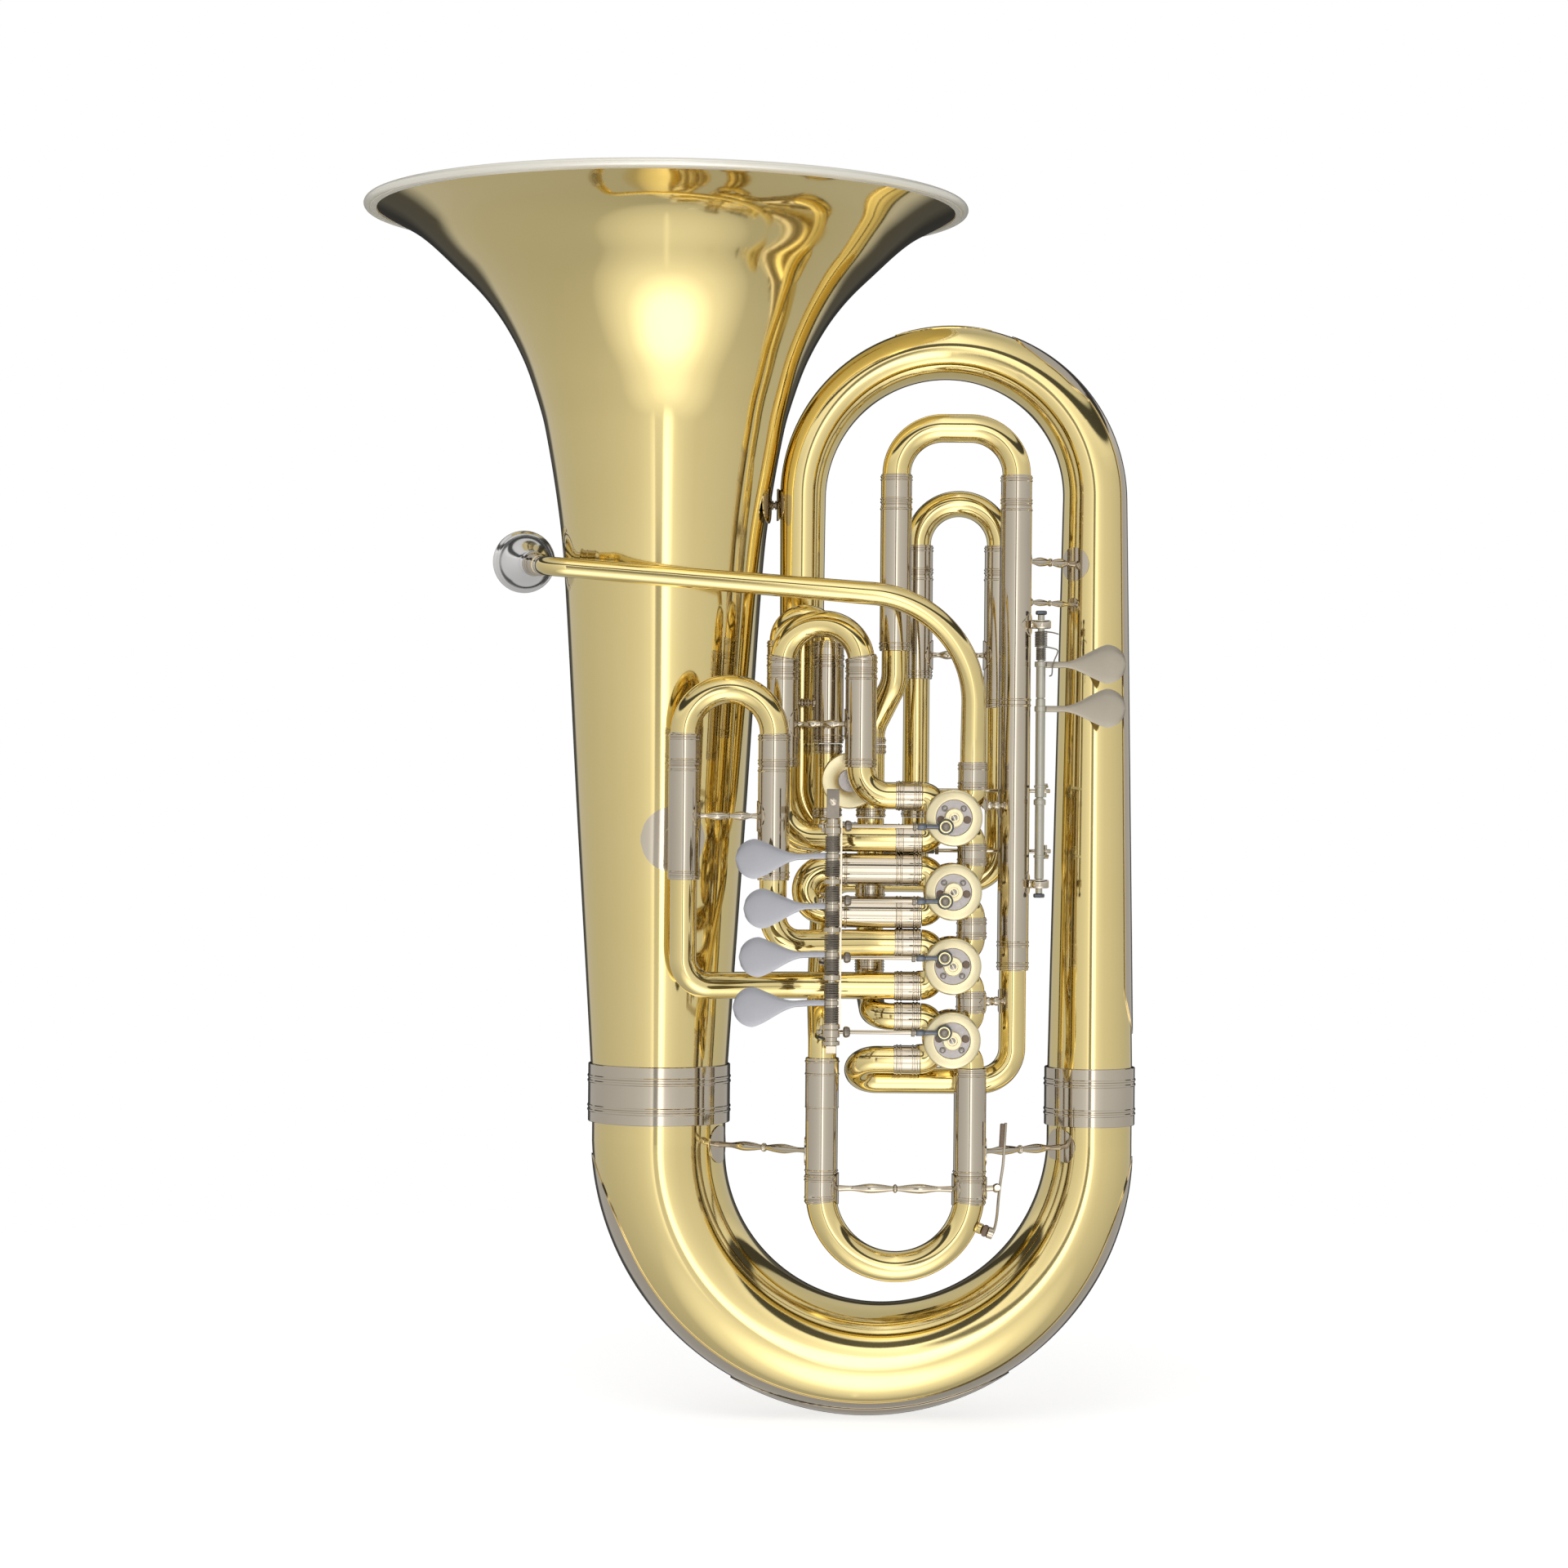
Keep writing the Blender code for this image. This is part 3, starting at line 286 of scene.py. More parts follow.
def ball(centre, radius):
    steps = 12
    turns = [math.pi * step / steps for step in range(1, steps)]
    return turned([(radius * math.sin(t), -radius * math.cos(t)) for t in turns], centre, Z_AXIS, 24)


def hex_nut(centre, axis, radius, thickness):
    profile = ((radius * 0.82, 0), (radius, 0.6), (radius, thickness - 0.6), (radius * 0.82, thickness))
    return turned(profile, centre, axis, 6)


def screw(centre, axis, radius, rise=1.2, across=Z_AXIS):
    """A slotted screw head: a round foot under two half-round cheeks with the slot between them."""
    centre = Vector(centre)
    axis = Vector(axis).normalized()
    side = axis.cross(across).normalized()
    other = axis.cross(side)
    shapes = [rod(centre, centre + axis * rise * 0.55, radius, 20, 0.1)]
    half_slot = 0.16
    for sign in (-1, 1):
        reach = math.asin(half_slot)
        outline = arc((0, 0), radius, reach, math.pi - reach, 10)
        rings = []
        for height, scale in ((0.5, 1), (0.85, 1), (1, 0.86)):
            rings.append(
                [centre + (side * a + other * b * sign) * scale + axis * rise * height for a, b in outline]
            )
        shapes.append(skin(rings))
    return joined(shapes)


# ---------------------------------------------------------------- paths and tubes

def rounded(corners, radii, step=BEND_STEP):
    """A path through the corners, with an arc of the given radius at each inner one."""
    path = [Vector(corners[0])]
    for before, corner, after, radius in zip(corners, corners[1:], corners[2:], radii):
        corner = Vector(corner)
        back = (Vector(before) - corner).normalized()
        onward = (Vector(after) - corner).normalized()
        half = back.angle(onward) / 2
        reach = radius / math.tan(half)
        centre = corner + (back + onward).normalized() * radius / math.sin(half)
        start = corner + back * reach - centre
        turn = math.pi - 2 * half
        axis = start.cross(corner + onward * reach - centre).normalized()
        count = max(3, round(turn / step))
        for index in range(count + 1):
            path.append(centre + Matrix.Rotation(turn * index / count, 3, axis) @ start)
    path.append(Vector(corners[-1]))
    apart = [after for before, after in zip(path, path[1:]) if (after - before).length > 0.05]
    return path[:1] + apart


def length_of(path):
    return sum((after - before).length for before, after in zip(path, path[1:]))


def part_of(path, start, end):
    """The stretch of a path between two distances along it."""
    kept = []
    travelled = 0
    for before, after in zip(path, path[1:]):
        span = (after - before).length
        for mark in (start, end):
            if travelled <= mark < travelled + span:
                kept.append((mark, before.lerp(after, (mark - travelled) / span)))
        travelled += span
        if start < travelled < end:
            kept.append((travelled, after))
    if end >= travelled:
        kept.append((travelled, path[-1]))
    kept.sort(key=lambda entry: entry[0])
    points = [kept[0][1]]
    for _, point in kept[1:]:
        if (point - points[-1]).length > 0.02:
            points.append(point)
    return points


def read_table(table, distance):
    for (start, low), (end, high) in zip(table, table[1:]):
        if distance <= end:
            share = (distance - start) / max(end - start, 1e-6)
            return low + (high - low) * min(1, max(0, share))
    return table[-1][1]


def smooth_table(points, steps=8):
    """More points on a smooth curve through the given pairs."""
    made = []
    for index in range(len(points) - 1):
        before = Vector(points[max(index - 1, 0)])
        start = Vector(points[index])
        end = Vector(points[index + 1])
        after = Vector(points[min(index + 2, len(points) - 1)])
        run = end - start
        lead = (end - before) * run.length / max((end - before).length, 1e-6)
        tail = (after - start) * run.length / max((after - start).length, 1e-6)
        for step in range(steps):
            t = step / steps
            place = start * (2 * t**3 - 3 * t**2 + 1) + end * (3 * t**2 - 2 * t**3)
            place += lead * (t**3 - 2 * t**2 + t) + tail * (t**3 - t**2)
            made.append(tuple(place))
    return made + [tuple(points[-1])]


def as_table(radius):
    return radius if isinstance(radius, list) else [(0, radius), (1e5, radius)]


def stations(path, tables):
    total = length_of(path)
    marks = sorted({distance for table in tables for distance, _ in table if 0.1 < distance < total - 0.1})
    found = []
    travelled = 0
    for before, after in zip(path, path[1:]):
        found.append((travelled, before))
        span = (after - before).length
        inside = [mark for mark in marks if travelled + 0.05 < mark < travelled + span - 0.05]
        found += [(mark, before.lerp(after, (mark - travelled) / span)) for mark in inside]
        travelled += span
    return found + [(travelled, path[-1])]


def frames(points):
    """Two directions across the path at each point, carried along it without twist."""
    runs = [(after - before).normalized() for before, after in zip(points, points[1:])]
    tangents = [runs[0]] + [(a + b).normalized() for a, b in zip(runs, runs[1:])] + [runs[-1]]
    across = Y_AXIS if abs(tangents[0].y) < 0.7 else Z_AXIS
    found = []
    for tangent in tangents:
        across = (across - tangent * across.dot(tangent)).normalized()
        found.append((across, tangent.cross(across)))
    return found


def rings_along(path, table, sides):
    places = stations(path, [table])
    crossways = frames([point for _, point in places])
    return [
        circle(point, across, up, read_table(table, distance), sides)
        for (distance, point), (across, up) in zip(places, crossways)
    ]


def swept(path, radius, sides=SIDES, bore=None):
    rings = rings_along(path, as_table(radius), sides)
    if bore is None:
        return skin(rings)
    return skin(rings + rings_along(path, as_table(bore), sides)[::-1], wrapped=True)


def sleeve(path, start, end, radius, beads=(), bore=None):
    """A short tube over a stretch of a path, with broken edges and raised rings at the given distances."""
    stretch = part_of(path, start, end)
    total = length_of(stretch)
    table = [(0, radius - 0.35), (0.35, radius)]
    for bead in sorted(beads):
        table += [(bead + step, radius + rise) for step, rise in BEAD]
    table += [(total - 0.35, radius), (total, radius - 0.35)]
    return swept(stretch, table, SIDES, radius - WALL if bore is None else bore)


def upright(place, start, end):
    """A straight path between two heights."""
    return [Vector((*place, start)), Vector((*place, end))]


def pairs(total, inset=2.2, apart=2.6):
    """Where a sleeve carries its rings: two near each end."""
    return (inset, inset + apart, total - inset - apart, total - inset)


# ---------------------------------------------------------------- objects

def make(name, finish, shapes, body="body", nodes=()):
    """One visible piece: it rides its body and stands for the CAD nodes named."""
    points, faces = joined(shapes)
    mesh = bpy.data.meshes.new(name)
    mesh.from_pydata([tuple(Vector(point) * MM) for point in points], [], faces)
    work = bmesh.new()
    work.from_mesh(mesh)
    bmesh.ops.recalc_face_normals(work, faces=work.faces)
    work.to_mesh(mesh)
    work.free()
    mesh.shade_smooth()
    mesh.set_sharp_from_angle(angle=SHARP_ANGLE)
    mesh.materials.append(MATERIALS[finish])
    item = bpy.data.objects.new(name, mesh)
    bpy.context.scene.collection.objects.link(item)
    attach(item, body)
    if nodes:
        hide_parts(*nodes)


def spindle(start, end, thick):
    """A turned brace: slim ends, a swelling on each side and a small bead in the middle."""
    start = Vector(start)
    run = Vector(end) - start
    thin = thick * 0.55
    half = [
        (0, thin * 1.25), (0.08, thin), (0.14, thin), (0.27, thick), (0.38, thick * 0.85), (0.465, thin),
        (0.48, thin), (0.493, thick * 0.9),
    ]
    whole = half + [(1 - share, radius) for share, radius in half[::-1]]
    curve = smooth_table([(run.length * share, radius) for share, radius in whole], 4)
    return turned([(radius, height) for height, radius in curve], start, run, 24)


def patch(centre, axis, radius, toward, half_length, half_width, diamond=False, thickness=0.7):
    """A flange bent round a tube: round, or a diamond, seen from the way it faces."""
    centre = Vector(centre)
    axis = Vector(axis).normalized()
    toward = Vector(toward)
    toward = (toward - axis * toward.dot(axis)).normalized()
    side = axis.cross(toward)
    steps = 20
    rings = []
    for step in range(steps + 1):
        share = -0.995 + 1.99 * step / steps
        turn = share * half_width / radius
        half = half_length * (1 - abs(share) if diamond else math.sqrt(1 - share**2))
        outward = toward * math.cos(turn) + side * math.sin(turn)
        low = centre - axis * half
        high = centre + axis * half
        near = radius + 0.05
        far = near + thickness
        inner = [low + outward * near, high + outward * near]
        rings.append(inner + [high + outward * far, low + outward * far])
    return skin(rings)


def coil(base, low, high, radius, wire=0.55, pitch=1.25):
    """A close-wound spring round an upright rod."""
    turns = (high - low) / pitch
    count = round(turns * 16)
    path = []
    for index in range(count + 1):
        turn = 2 * math.pi * turns * index / count
        height = low + (high - low) * index / count
        path.append(Vector((base[0] + radius * math.cos(turn), base[1] + radius * math.sin(turn), height)))
    return swept(path, wire, 6)


# ---------------------------------------------------------------- bell, bow and branch

def offset_profile(profile, wall):
    moved = []
    for index, (radius, height) in enumerate(profile):
        before = profile[max(index - 1, 0)]
        after = profile[min(index + 1, len(profile) - 1)]
        run = Vector((after[0] - before[0], after[1] - before[1])).normalized()
        moved.append((radius - run.y * wall, height + run.x * wall))
    return moved


def bell_radius(height):
    return read_table([(level_z, radius) for radius, level_z in BELL_PROFILE], height)


def bell():
    outside = smooth_table(BELL_PROFILE, 10)
    inside = offset_profile(outside, WALL)
    base = (-LIMB_X, 0, 0)
    make("bell_shell", "brass", [turned(outside + inside[::-1], base, Z_AXIS, 192, True)], "body", ["bell"])
    bead = arc((RIM_RADIUS, RIM_Z), 3.1, 0, 2 * math.pi * 23 / 24, 23)
    lip = [(215.5, 894.2), (219.6, 894.6), (219.6, 896.2), (215.5, 895.7)]
    shapes = [turned(bead, base, Z_AXIS, 192, True), turned(lip, base, Z_AXIS, 192, True)]
    make("bell_rim_wire", "rim", shapes, "body", ["bell_rim"])


def collar(name, node, centre_x, bore):
    """The wide collar over a joint of the big tubes, with two pairs of raised rings."""
    outside = bore + 1.1
    edge = 0.4
    profile = [(outside - edge, FERRULE_LOW), (outside, FERRULE_LOW + edge)]
    for bead in (227.1, 230.3, 248.7, 252.3):
        profile += [(outside + rise, bead + step) for step, rise in WIDE_BEAD]
    profile += [(outside, FERRULE_HIGH - edge), (outside - edge, FERRULE_HIGH)]
    profile += [(bore, FERRULE_HIGH), (bore, FERRULE_LOW)]
    make(name, "nickel", [turned(profile, (centre_x, 0, 0), Z_AXIS, 96, True)], "body", [node])


def off_axis(point, ways, turn, reach):
    """A place beside a path: a turn round it and a reach away from it."""
    across, up = ways
    return point + (across * math.cos(turn) + up * math.sin(turn)) * reach


def strip_on(path, table, start, end, half_angle, rise=0.9):
    """A guard strip along the outside of a bend; half_angle gives its half width at a distance along it."""
    marks = [(start + (end - start) * step / 90, 0) for step in range(91)]
    places = stations(path, [marks])
    crossways = frames([point for _, point in places])
    middle = -math.pi / 2
    rings = []
    for (distance, point), ways in zip(places, crossways):
        if not start - 0.01 <= distance <= end + 0.01:
            continue
        reach = read_table(table, distance)
        half = max(half_angle(distance), math.radians(0.6))
        turns = [middle + half * share / 8 for share in range(-8, 9)]
        below = [off_axis(point, ways, turn, reach + 0.1) for turn in turns]
        above = [off_axis(point, ways, turn, reach + rise) for turn in turns]
        rings.append(below + above[::-1])
    return skin(rings)


def tapered(start, end, tip, widest):
    """A half angle that grows from nothing at both ends, as a round tip does."""
    def half_angle(distance):
        near = min(distance - start, end - distance)
        share = min(1, max(0, near / tip))
        return math.radians(widest) * math.sqrt(1 - (1 - share) ** 2)
    return half_angle


def bow_path():
    low = BOW_Z - LIMB_X
    corners = (
        (-LIMB_X, 0, JOINT_Z - 0.2), (-LIMB_X, 0, low), (LIMB_X, 0, low), (LIMB_X, 0, JOINT_Z - 0.2),
    )
    return rounded(corners, (LIMB_X, LIMB_X), math.radians(2))


def bottom_bow():
    path = bow_path()
    total = length_of(path)
    straight = JOINT_Z - BOW_Z
    left, middle, right = BOW_RADII
    outer = [(0, left), (straight, left), (total / 2, middle), (total - straight, right), (total, right)]
    inner = [(distance, radius - WALL) for distance, radius in outer]
    make("bow_tube", "brass", [swept(path, outer, 96, inner)], "body", ["bottom_bow"])
    start = straight + 8
    end = total - straight - 8
    guard = strip_on(path, outer, start, end, tapered(start, end, 60, 41))
    make("bow_guard_strip", "nickel", [guard], "body", ["bow_guard"])
    foot_plate(path, outer, total)


def foot_plate(path, outer, total):
    """The thick crescent that the bow stands on, flat underneath in the middle."""
    half_long = 86
    marks = [(total / 2 - half_long + 2 * half_long * step / 60, 0) for step in range(61)]
    places = stations(path, [marks])
    crossways = frames([point for _, point in places])
    rings = []
    for (distance, point), ways in zip(places, crossways):
        share = (distance - total / 2) / half_long
        if abs(share) > 1.001:
            continue
        reach = read_table(outer, distance) + 1.1
        swell = 1 - min(1, abs(share)) ** 2
        half = math.radians(9 + 19 * math.sqrt(swell))
        turns = [-math.pi / 2 + half * step / 8 for step in range(-8, 9)]
        below = [off_axis(point, ways, turn, reach) for turn in turns]
        above = []
        for step, turn in enumerate(turns):
            edge = 1 - (abs(step - 8) / 8) ** 4
            away = reach + 0.6 + (0.4 + 1.2 * swell) * edge
            above.append(off_axis(point, ways, turn, away))
        for corner in above:
            corner.z = max(corner.z, 0)
        rings.append(below + above[::-1])
    make("foot_crescent", "nickel", [skin(rings)], "body", ["foot_plate"])


def branch_path():
    loop = (LIMB_X - BRANCH_LEFT_X) / 2
    top = LOOP_Z + loop
    port_z = VALVE_6[2] + PORT_RISE
    corners = (
        (LIMB_X, 0, JOINT_Z + 0.2), (LIMB_X, 0, top), (BRANCH_LEFT_X, 0, top),
        (BRANCH_LEFT_X, VALVE_6[1], port_z), (-12.3, VALVE_6[1], port_z),
    )
    return rounded(corners, (loop, loop, 38), math.radians(2.5))


def main_branch():
    path = branch_path()
    total = length_of(path)
    rough = [(0, 31.5), (22, 31.5), (290, 26.5), (444, 23.5), (614, 20), (785, 17), (900, 16.2)]
    outer = smooth_table(rough, 6) + [(total - 24, 10.6), (total - 19, TUBE), (total, TUBE)]
    inner = [(distance, radius - WALL) for distance, radius in outer]
    make("branch_tube", "brass", [swept(path, outer, 80, inner)], "body", ["main_branch"])
    patch_start = 500

    def half_angle(distance):
        if distance < patch_start:
            return math.radians(38) * math.sqrt(min(1, max(0, (distance - 46) / 30)))
        return max(math.radians(38 if distance < 520 else 0), tapered(patch_start, 575, 30, 50)(distance))

    guard = strip_on(path, outer, 46, 575, half_angle)
    make("branch_guard_strip", "nickel", [guard], "body", ["branch_guard"])
    second = strip_on(path, outer, 588, 650, tapered(588, 650, 26, 24), 0.6)
    make("branch_patch", "brass", [second])
    ferrule = sleeve(path, total - 21, total - 1, 10.6, (3, 17))
    make("branch_end_ferrule", "nickel", [ferrule])


# ---------------------------------------------------------------- leadpipe and mouthpiece

def on_mouthpiece(distance):
    return MOUTHPIECE_RIM + MOUTHPIECE_AXIS * distance


def leadpipe():
    corners = (
        on_mouthpiece(100.3), on_mouthpiece(140.5), (KNUCKLE_X, -107, 602), (KNUCKLE_X, VALVE_Y, 500),
        (KNUCKLE_X, VALVE_Y, 467.1),
    )
    path = rounded(corners, (18, 80, 60), math.radians(3))
    total = length_of(path)
    outer = [(0, 6.5), (1, 6.7), (total, 9.3)]
    bore = [(0, 5.8), (total, 8.5)]
    make("leadpipe_tube", "brass", [swept(path, outer, 48, bore)], "body", ["leadpipe"])
    make("leadpipe_ferrule", "nickel", [sleeve(path, total - 20, total, 10.5, pairs(20), 8.7)])
    profile = [
        (5.9, 66), (7.4, 66), (8.9, 66.4), (9.3, 67.6), (9.1, 69.4), (8.3, 70.6), (8.1, 74), (8.1, 78),
        (8.5, 78.5), (8.5, 79.7), (8.1, 80.2), (8.0, 92), (8.4, 92.6), (8.4, 94), (7.9, 94.6), (7.3, 99.4),
        (6.8, 100), (5.9, 100),
    ]
    receiver = turned(profile, MOUTHPIECE_RIM, MOUTHPIECE_AXIS, 64, True)
    make("receiver_tube", "nickel", [receiver], "body", ["mouthpiece_receiver"])
    outside = [
        (15.6, 2.2), (16.6, 1.0), (18.0, 0.2), (19.6, 0), (21.4, 0.4), (22.8, 1.3), (23.5, 2.8), (23.5, 4.0),
        (22.9, 5.4), (21.8, 6.4), (21.3, 7.2), (21.6, 8.1), (21.4, 9.3), (20.5, 10.4), (20.0, 14), (19.4, 20),
        (18.3, 26.5), (16.2, 32.5), (13.2, 38), (10.4, 42), (8.9, 44.6), (8.6, 46.2), (8.9, 47.6), (8.6, 49),
        (7.5, 50.6), (6.9, 54), (6.6, 60), (6.5, 66), (5.5, 90), (4.6, 90),
    ]
    inside = [(3.9, 42), (5.2, 37), (8.5, 31.5), (12.2, 25), (14.6, 17), (15.3, 8)]
    cup = turned(outside + inside, MOUTHPIECE_RIM, MOUTHPIECE_AXIS, 96, True)
    make("mouthpiece_cup", "silver", [cup], "mouthpiece", ["mouthpiece"])


# ---------------------------------------------------------------- valves

def casing_shell(centre, half_depth, front):
    """A casing barrel, open on the side of its bearing cap, with a rolled edge and a turned back."""
    low = -half_depth
    profile = [
        (17.3, half_depth), (CASING - 0.3, half_depth), (CASING, half_depth - 0.4), (CASING, low + 4),
        (CASING + 0.8, low + 3.4), (CASING + 0.8, low + 0.8), (CASING, low), (8, low), (7.4, low - 1.2),
        (0.3, low - 1.2), (0.3, low + 2.4), (17.3, low + 2.4),
    ]
    return turned(profile, centre, (0, front, 0), 64, True)


def at_front(x, z):
    """A place in the plane of the four front valves."""
    return (x, VALVE_Y, z)


def ports(number):
    """The heights of a front valve's upper and lower port."""
    z = VALVE_Z[number - 1]
    return z + PORT_RISE, z - PORT_RISE


def knuckle(valve_z, way, end_z):
    """An elbow between a casing's side and the upright tube beside it, always drawn from the top down."""
    turn_z = valve_z + way * 9.5
    corners = [at_front(VALVE_X - 2, turn_z), at_front(KNUCKLE_X, turn_z), at_front(KNUCKLE_X, end_z)]
    return swept(rounded(corners[::-way], (10,)), TUBE, 40)


def valve_block():
    brass = []
    nickel = []
    inner_x = VALVE_X - 15
    for z in VALVE_Z:
        brass.append(casing_shell(at_front(VALVE_X, z), HALF_DEPTH, -1))
        for rise in (PORT_RISE, -PORT_RISE):
            start = at_front(PORT_START + 0.3, z + rise)
            elbow = (start, at_front(inner_x, z + rise), at_front(inner_x, z + rise * 0.3))
            brass.append(swept(rounded(elbow, (7,)), TUBE + 0.2, 40))
    brass.append(knuckle(VALVE_Z[0], 1, 466.8))
    for above, below in zip(VALVE_Z, VALVE_Z[1:]):
        middle = (above + below) / 2
        brass.append(knuckle(above, -1, middle))
        brass.append(knuckle(below, 1, middle))
        run = upright((KNUCKLE_X, VALVE_Y), middle + 8, middle - 8)
        nickel.append(sleeve(run, 0, 16, 10.6, pairs(16, 2, 2.4), 8))
    brass.append(knuckle(VALVE_Z[3], -1, 266))
    make("valve_casings", "brass", brass, "body", ["valve_block"])
    make("valve_knuckle_sleeves", "nickel", nickel)


def casing_5():
    x, y, _ = VALVE_5
    tubes = [(x - 16, y), (x + 16, y)]
    shapes = [casing_shell(VALVE_5, HALF_DEPTH_5, 1)]
    shapes += [swept(upright(tube, 446.2, 499.8), TUBE, 40) for tube in tubes]
    make("valve_5_casing", "brass", shapes, "body", ["valve_casing_5"])
    disc = [
        (0.3, 12), (CAP - 0.8, 12), (CAP, 12.6), (CAP, 16.4), (CAP - 0.9, 17.5), (9.4, 17.5), (8.6, 16.9),
        (0.3, 16.9),
    ]
    make("valve_5_front_cap", "pale", [turned(disc, VALVE_5, -Y_AXIS, 72)])
    front = Vector(VALVE_5) - Y_AXIS * 16.8
    centre_plate = [(0.3, 0), (8.3, 0), (8.3, 0.5), (8.0, 0.8), (0.3, 0.8)]
    head = screw(front - Y_AXIS * 0.7, -Y_AXIS, 2.2, 1.2, Vector((1, 0, 0.6)))
    make("valve_5_front_plate", "plate", [turned(centre_plate, front, -Y_AXIS, 48), head])
    ferrules = []
    for tube in tubes:
        for low in (446.2, 492.8):
            ferrules.append(sleeve(upright(tube, low, low + 7), 0, 7, 10.5, (1.7, 5.3), 9))
    make("valve_5_ferrules", "nickel", ferrules)


def casing_6():
    x, y, z = VALVE_6
    up_tube = upright((28.5, y), z, 446)
    shapes = [casing_shell(VALVE_6, HALF_DEPTH, -1), swept(up_tube, TUBE, 40)]
    for port_z, end_x in ((z - PORT_RISE, 42), (z + PORT_RISE, x)):
        shapes.append(swept([Vector((-12, y, port_z)), Vector((end_x, y, port_z))], TUBE, 40))
    make("valve_6_casing", "brass", shapes, "body", ["valve_casing_6"])


def valve_set(number, centre, half_depth, cap, front, pin_turn, pin_length):
    """The bearing cap with its fittings and the rotor with its crank; returns the crank pin's place."""
    facing_way = Vector((0, front, 0))
    base = Vector(centre)
    start = half_depth + 0.3
    top = start + cap
    ring = [
        (13.0, start), (CAP - 0.4, start), (CAP, start + 0.5), (CAP, top - 1.5), (CAP - 0.5, top - 0.6),
        (CAP - 1.6, top), (13.3, top), (13.0, top - 0.3),
    ]
    shapes = [turned(ring, base, facing_way, 96, True)]
    make(f"cap_{number}_ring", "pale", shapes, "body", [f"bearing_cap_{number}"])
    floor_of_cap = top - 1.5
    plate = [(4.7, start + 0.2), (12.9, start + 0.2), (12.9, floor_of_cap), (4.7, floor_of_cap)]
    pin_angle = math.radians(pin_turn)
    side = -math.copysign(1, math.sin(pin_angle))
    screws = []
    well_shade_rings = []
    for turn in (side * math.radians(45), side * math.radians(135)):
        outward = Vector((math.cos(turn), 0, math.sin(turn)))
        spot = base + outward * 9.6 + facing_way * floor_of_cap
        screws.append(screw(spot + facing_way * 0.2, facing_way, 1.35, 0.9, outward))
        # Painted shade: a dark raised ring round each screw head stands for the shadow inside the screw's
        # well; the plate has no recess cut in it.
        shade_ring_profile = [(1.5, -0.2), (2.2, -0.2), (2.3, 0.35), (2.1, 0.6), (1.7, 0.6), (1.5, 0.3)]
        well_shade_rings.append(turned(shade_ring_profile, spot, facing_way, 24, True))
    make(f"cap_{number}_plate", "plate", [turned(plate, base, facing_way, 64, True), *screws])
    # The dark rings of painted shade round the screw heads.
    make(f"cap_{number}_screw_well_shade", "spring", well_shade_rings)
    bumpers = []
    for turn in (-side * math.radians(8), math.pi + side * math.radians(8)):
        spot = base + Vector((math.cos(turn), 0, math.sin(turn))) * 9.6
        bumpers.append(rod(spot + facing_way * (floor_of_cap - 0.3), spot + facing_way * top, 2.8, 20, 0.4))
    make(f"cap_{number}_bumpers", "cork", bumpers)
    hub = top + 0.8
    body = f"rotor_{number}"
    barrel = [
        (16.6, -half_depth + 3.6), (16.6, half_depth - 3.6), (3.9, half_depth - 3.2), (3.9, hub - 0.5),
        (6.2, hub - 0.4), (6.7, hub + 0.2), (6.7, hub + 2.5), (6.3, hub + 3.0), (3.7, hub + 3.0),
        (3.5, hub + 2.7), (3.5, hub + 0.9), (0.3, hub + 0.9),
    ]
    make(f"rotor_{number}_spindle", "pale", [turned(barrel, base, facing_way, 48)], body, [body])
    pin = base + Vector((math.cos(pin_angle), 0, math.sin(pin_angle))) * CRANK
    arm = teardrop((base.x, base.z), (pin.x, pin.z), 6.0, 4.2)
    depths = (base.y + front * (hub + 0.5), base.y + front * (hub + 2.2))
    lock = screw(base + facing_way * (hub + 1.4), facing_way, 2.3, 1.3, Vector((1, 0, 0.6)))
    stud = rod(pin + facing_way * (hub + 1), pin + facing_way * (hub + pin_length), 1.6)
    crank = [slab(arm, facing, *depths), stud]
    make(f"rotor_{number}_crank", "pale", crank, body)
    make(f"rotor_{number}_screw", "plate", [lock], body)
    return pin


# ---------------------------------------------------------------- paddles and links

def lever_swing(radius):
    return 2 * math.asin(CRANK_REACH / radius)


def link_depth(rail, radius):
    return rail[1] + radius * (1 + math.cos(lever_swing(radius) / 2)) / 2


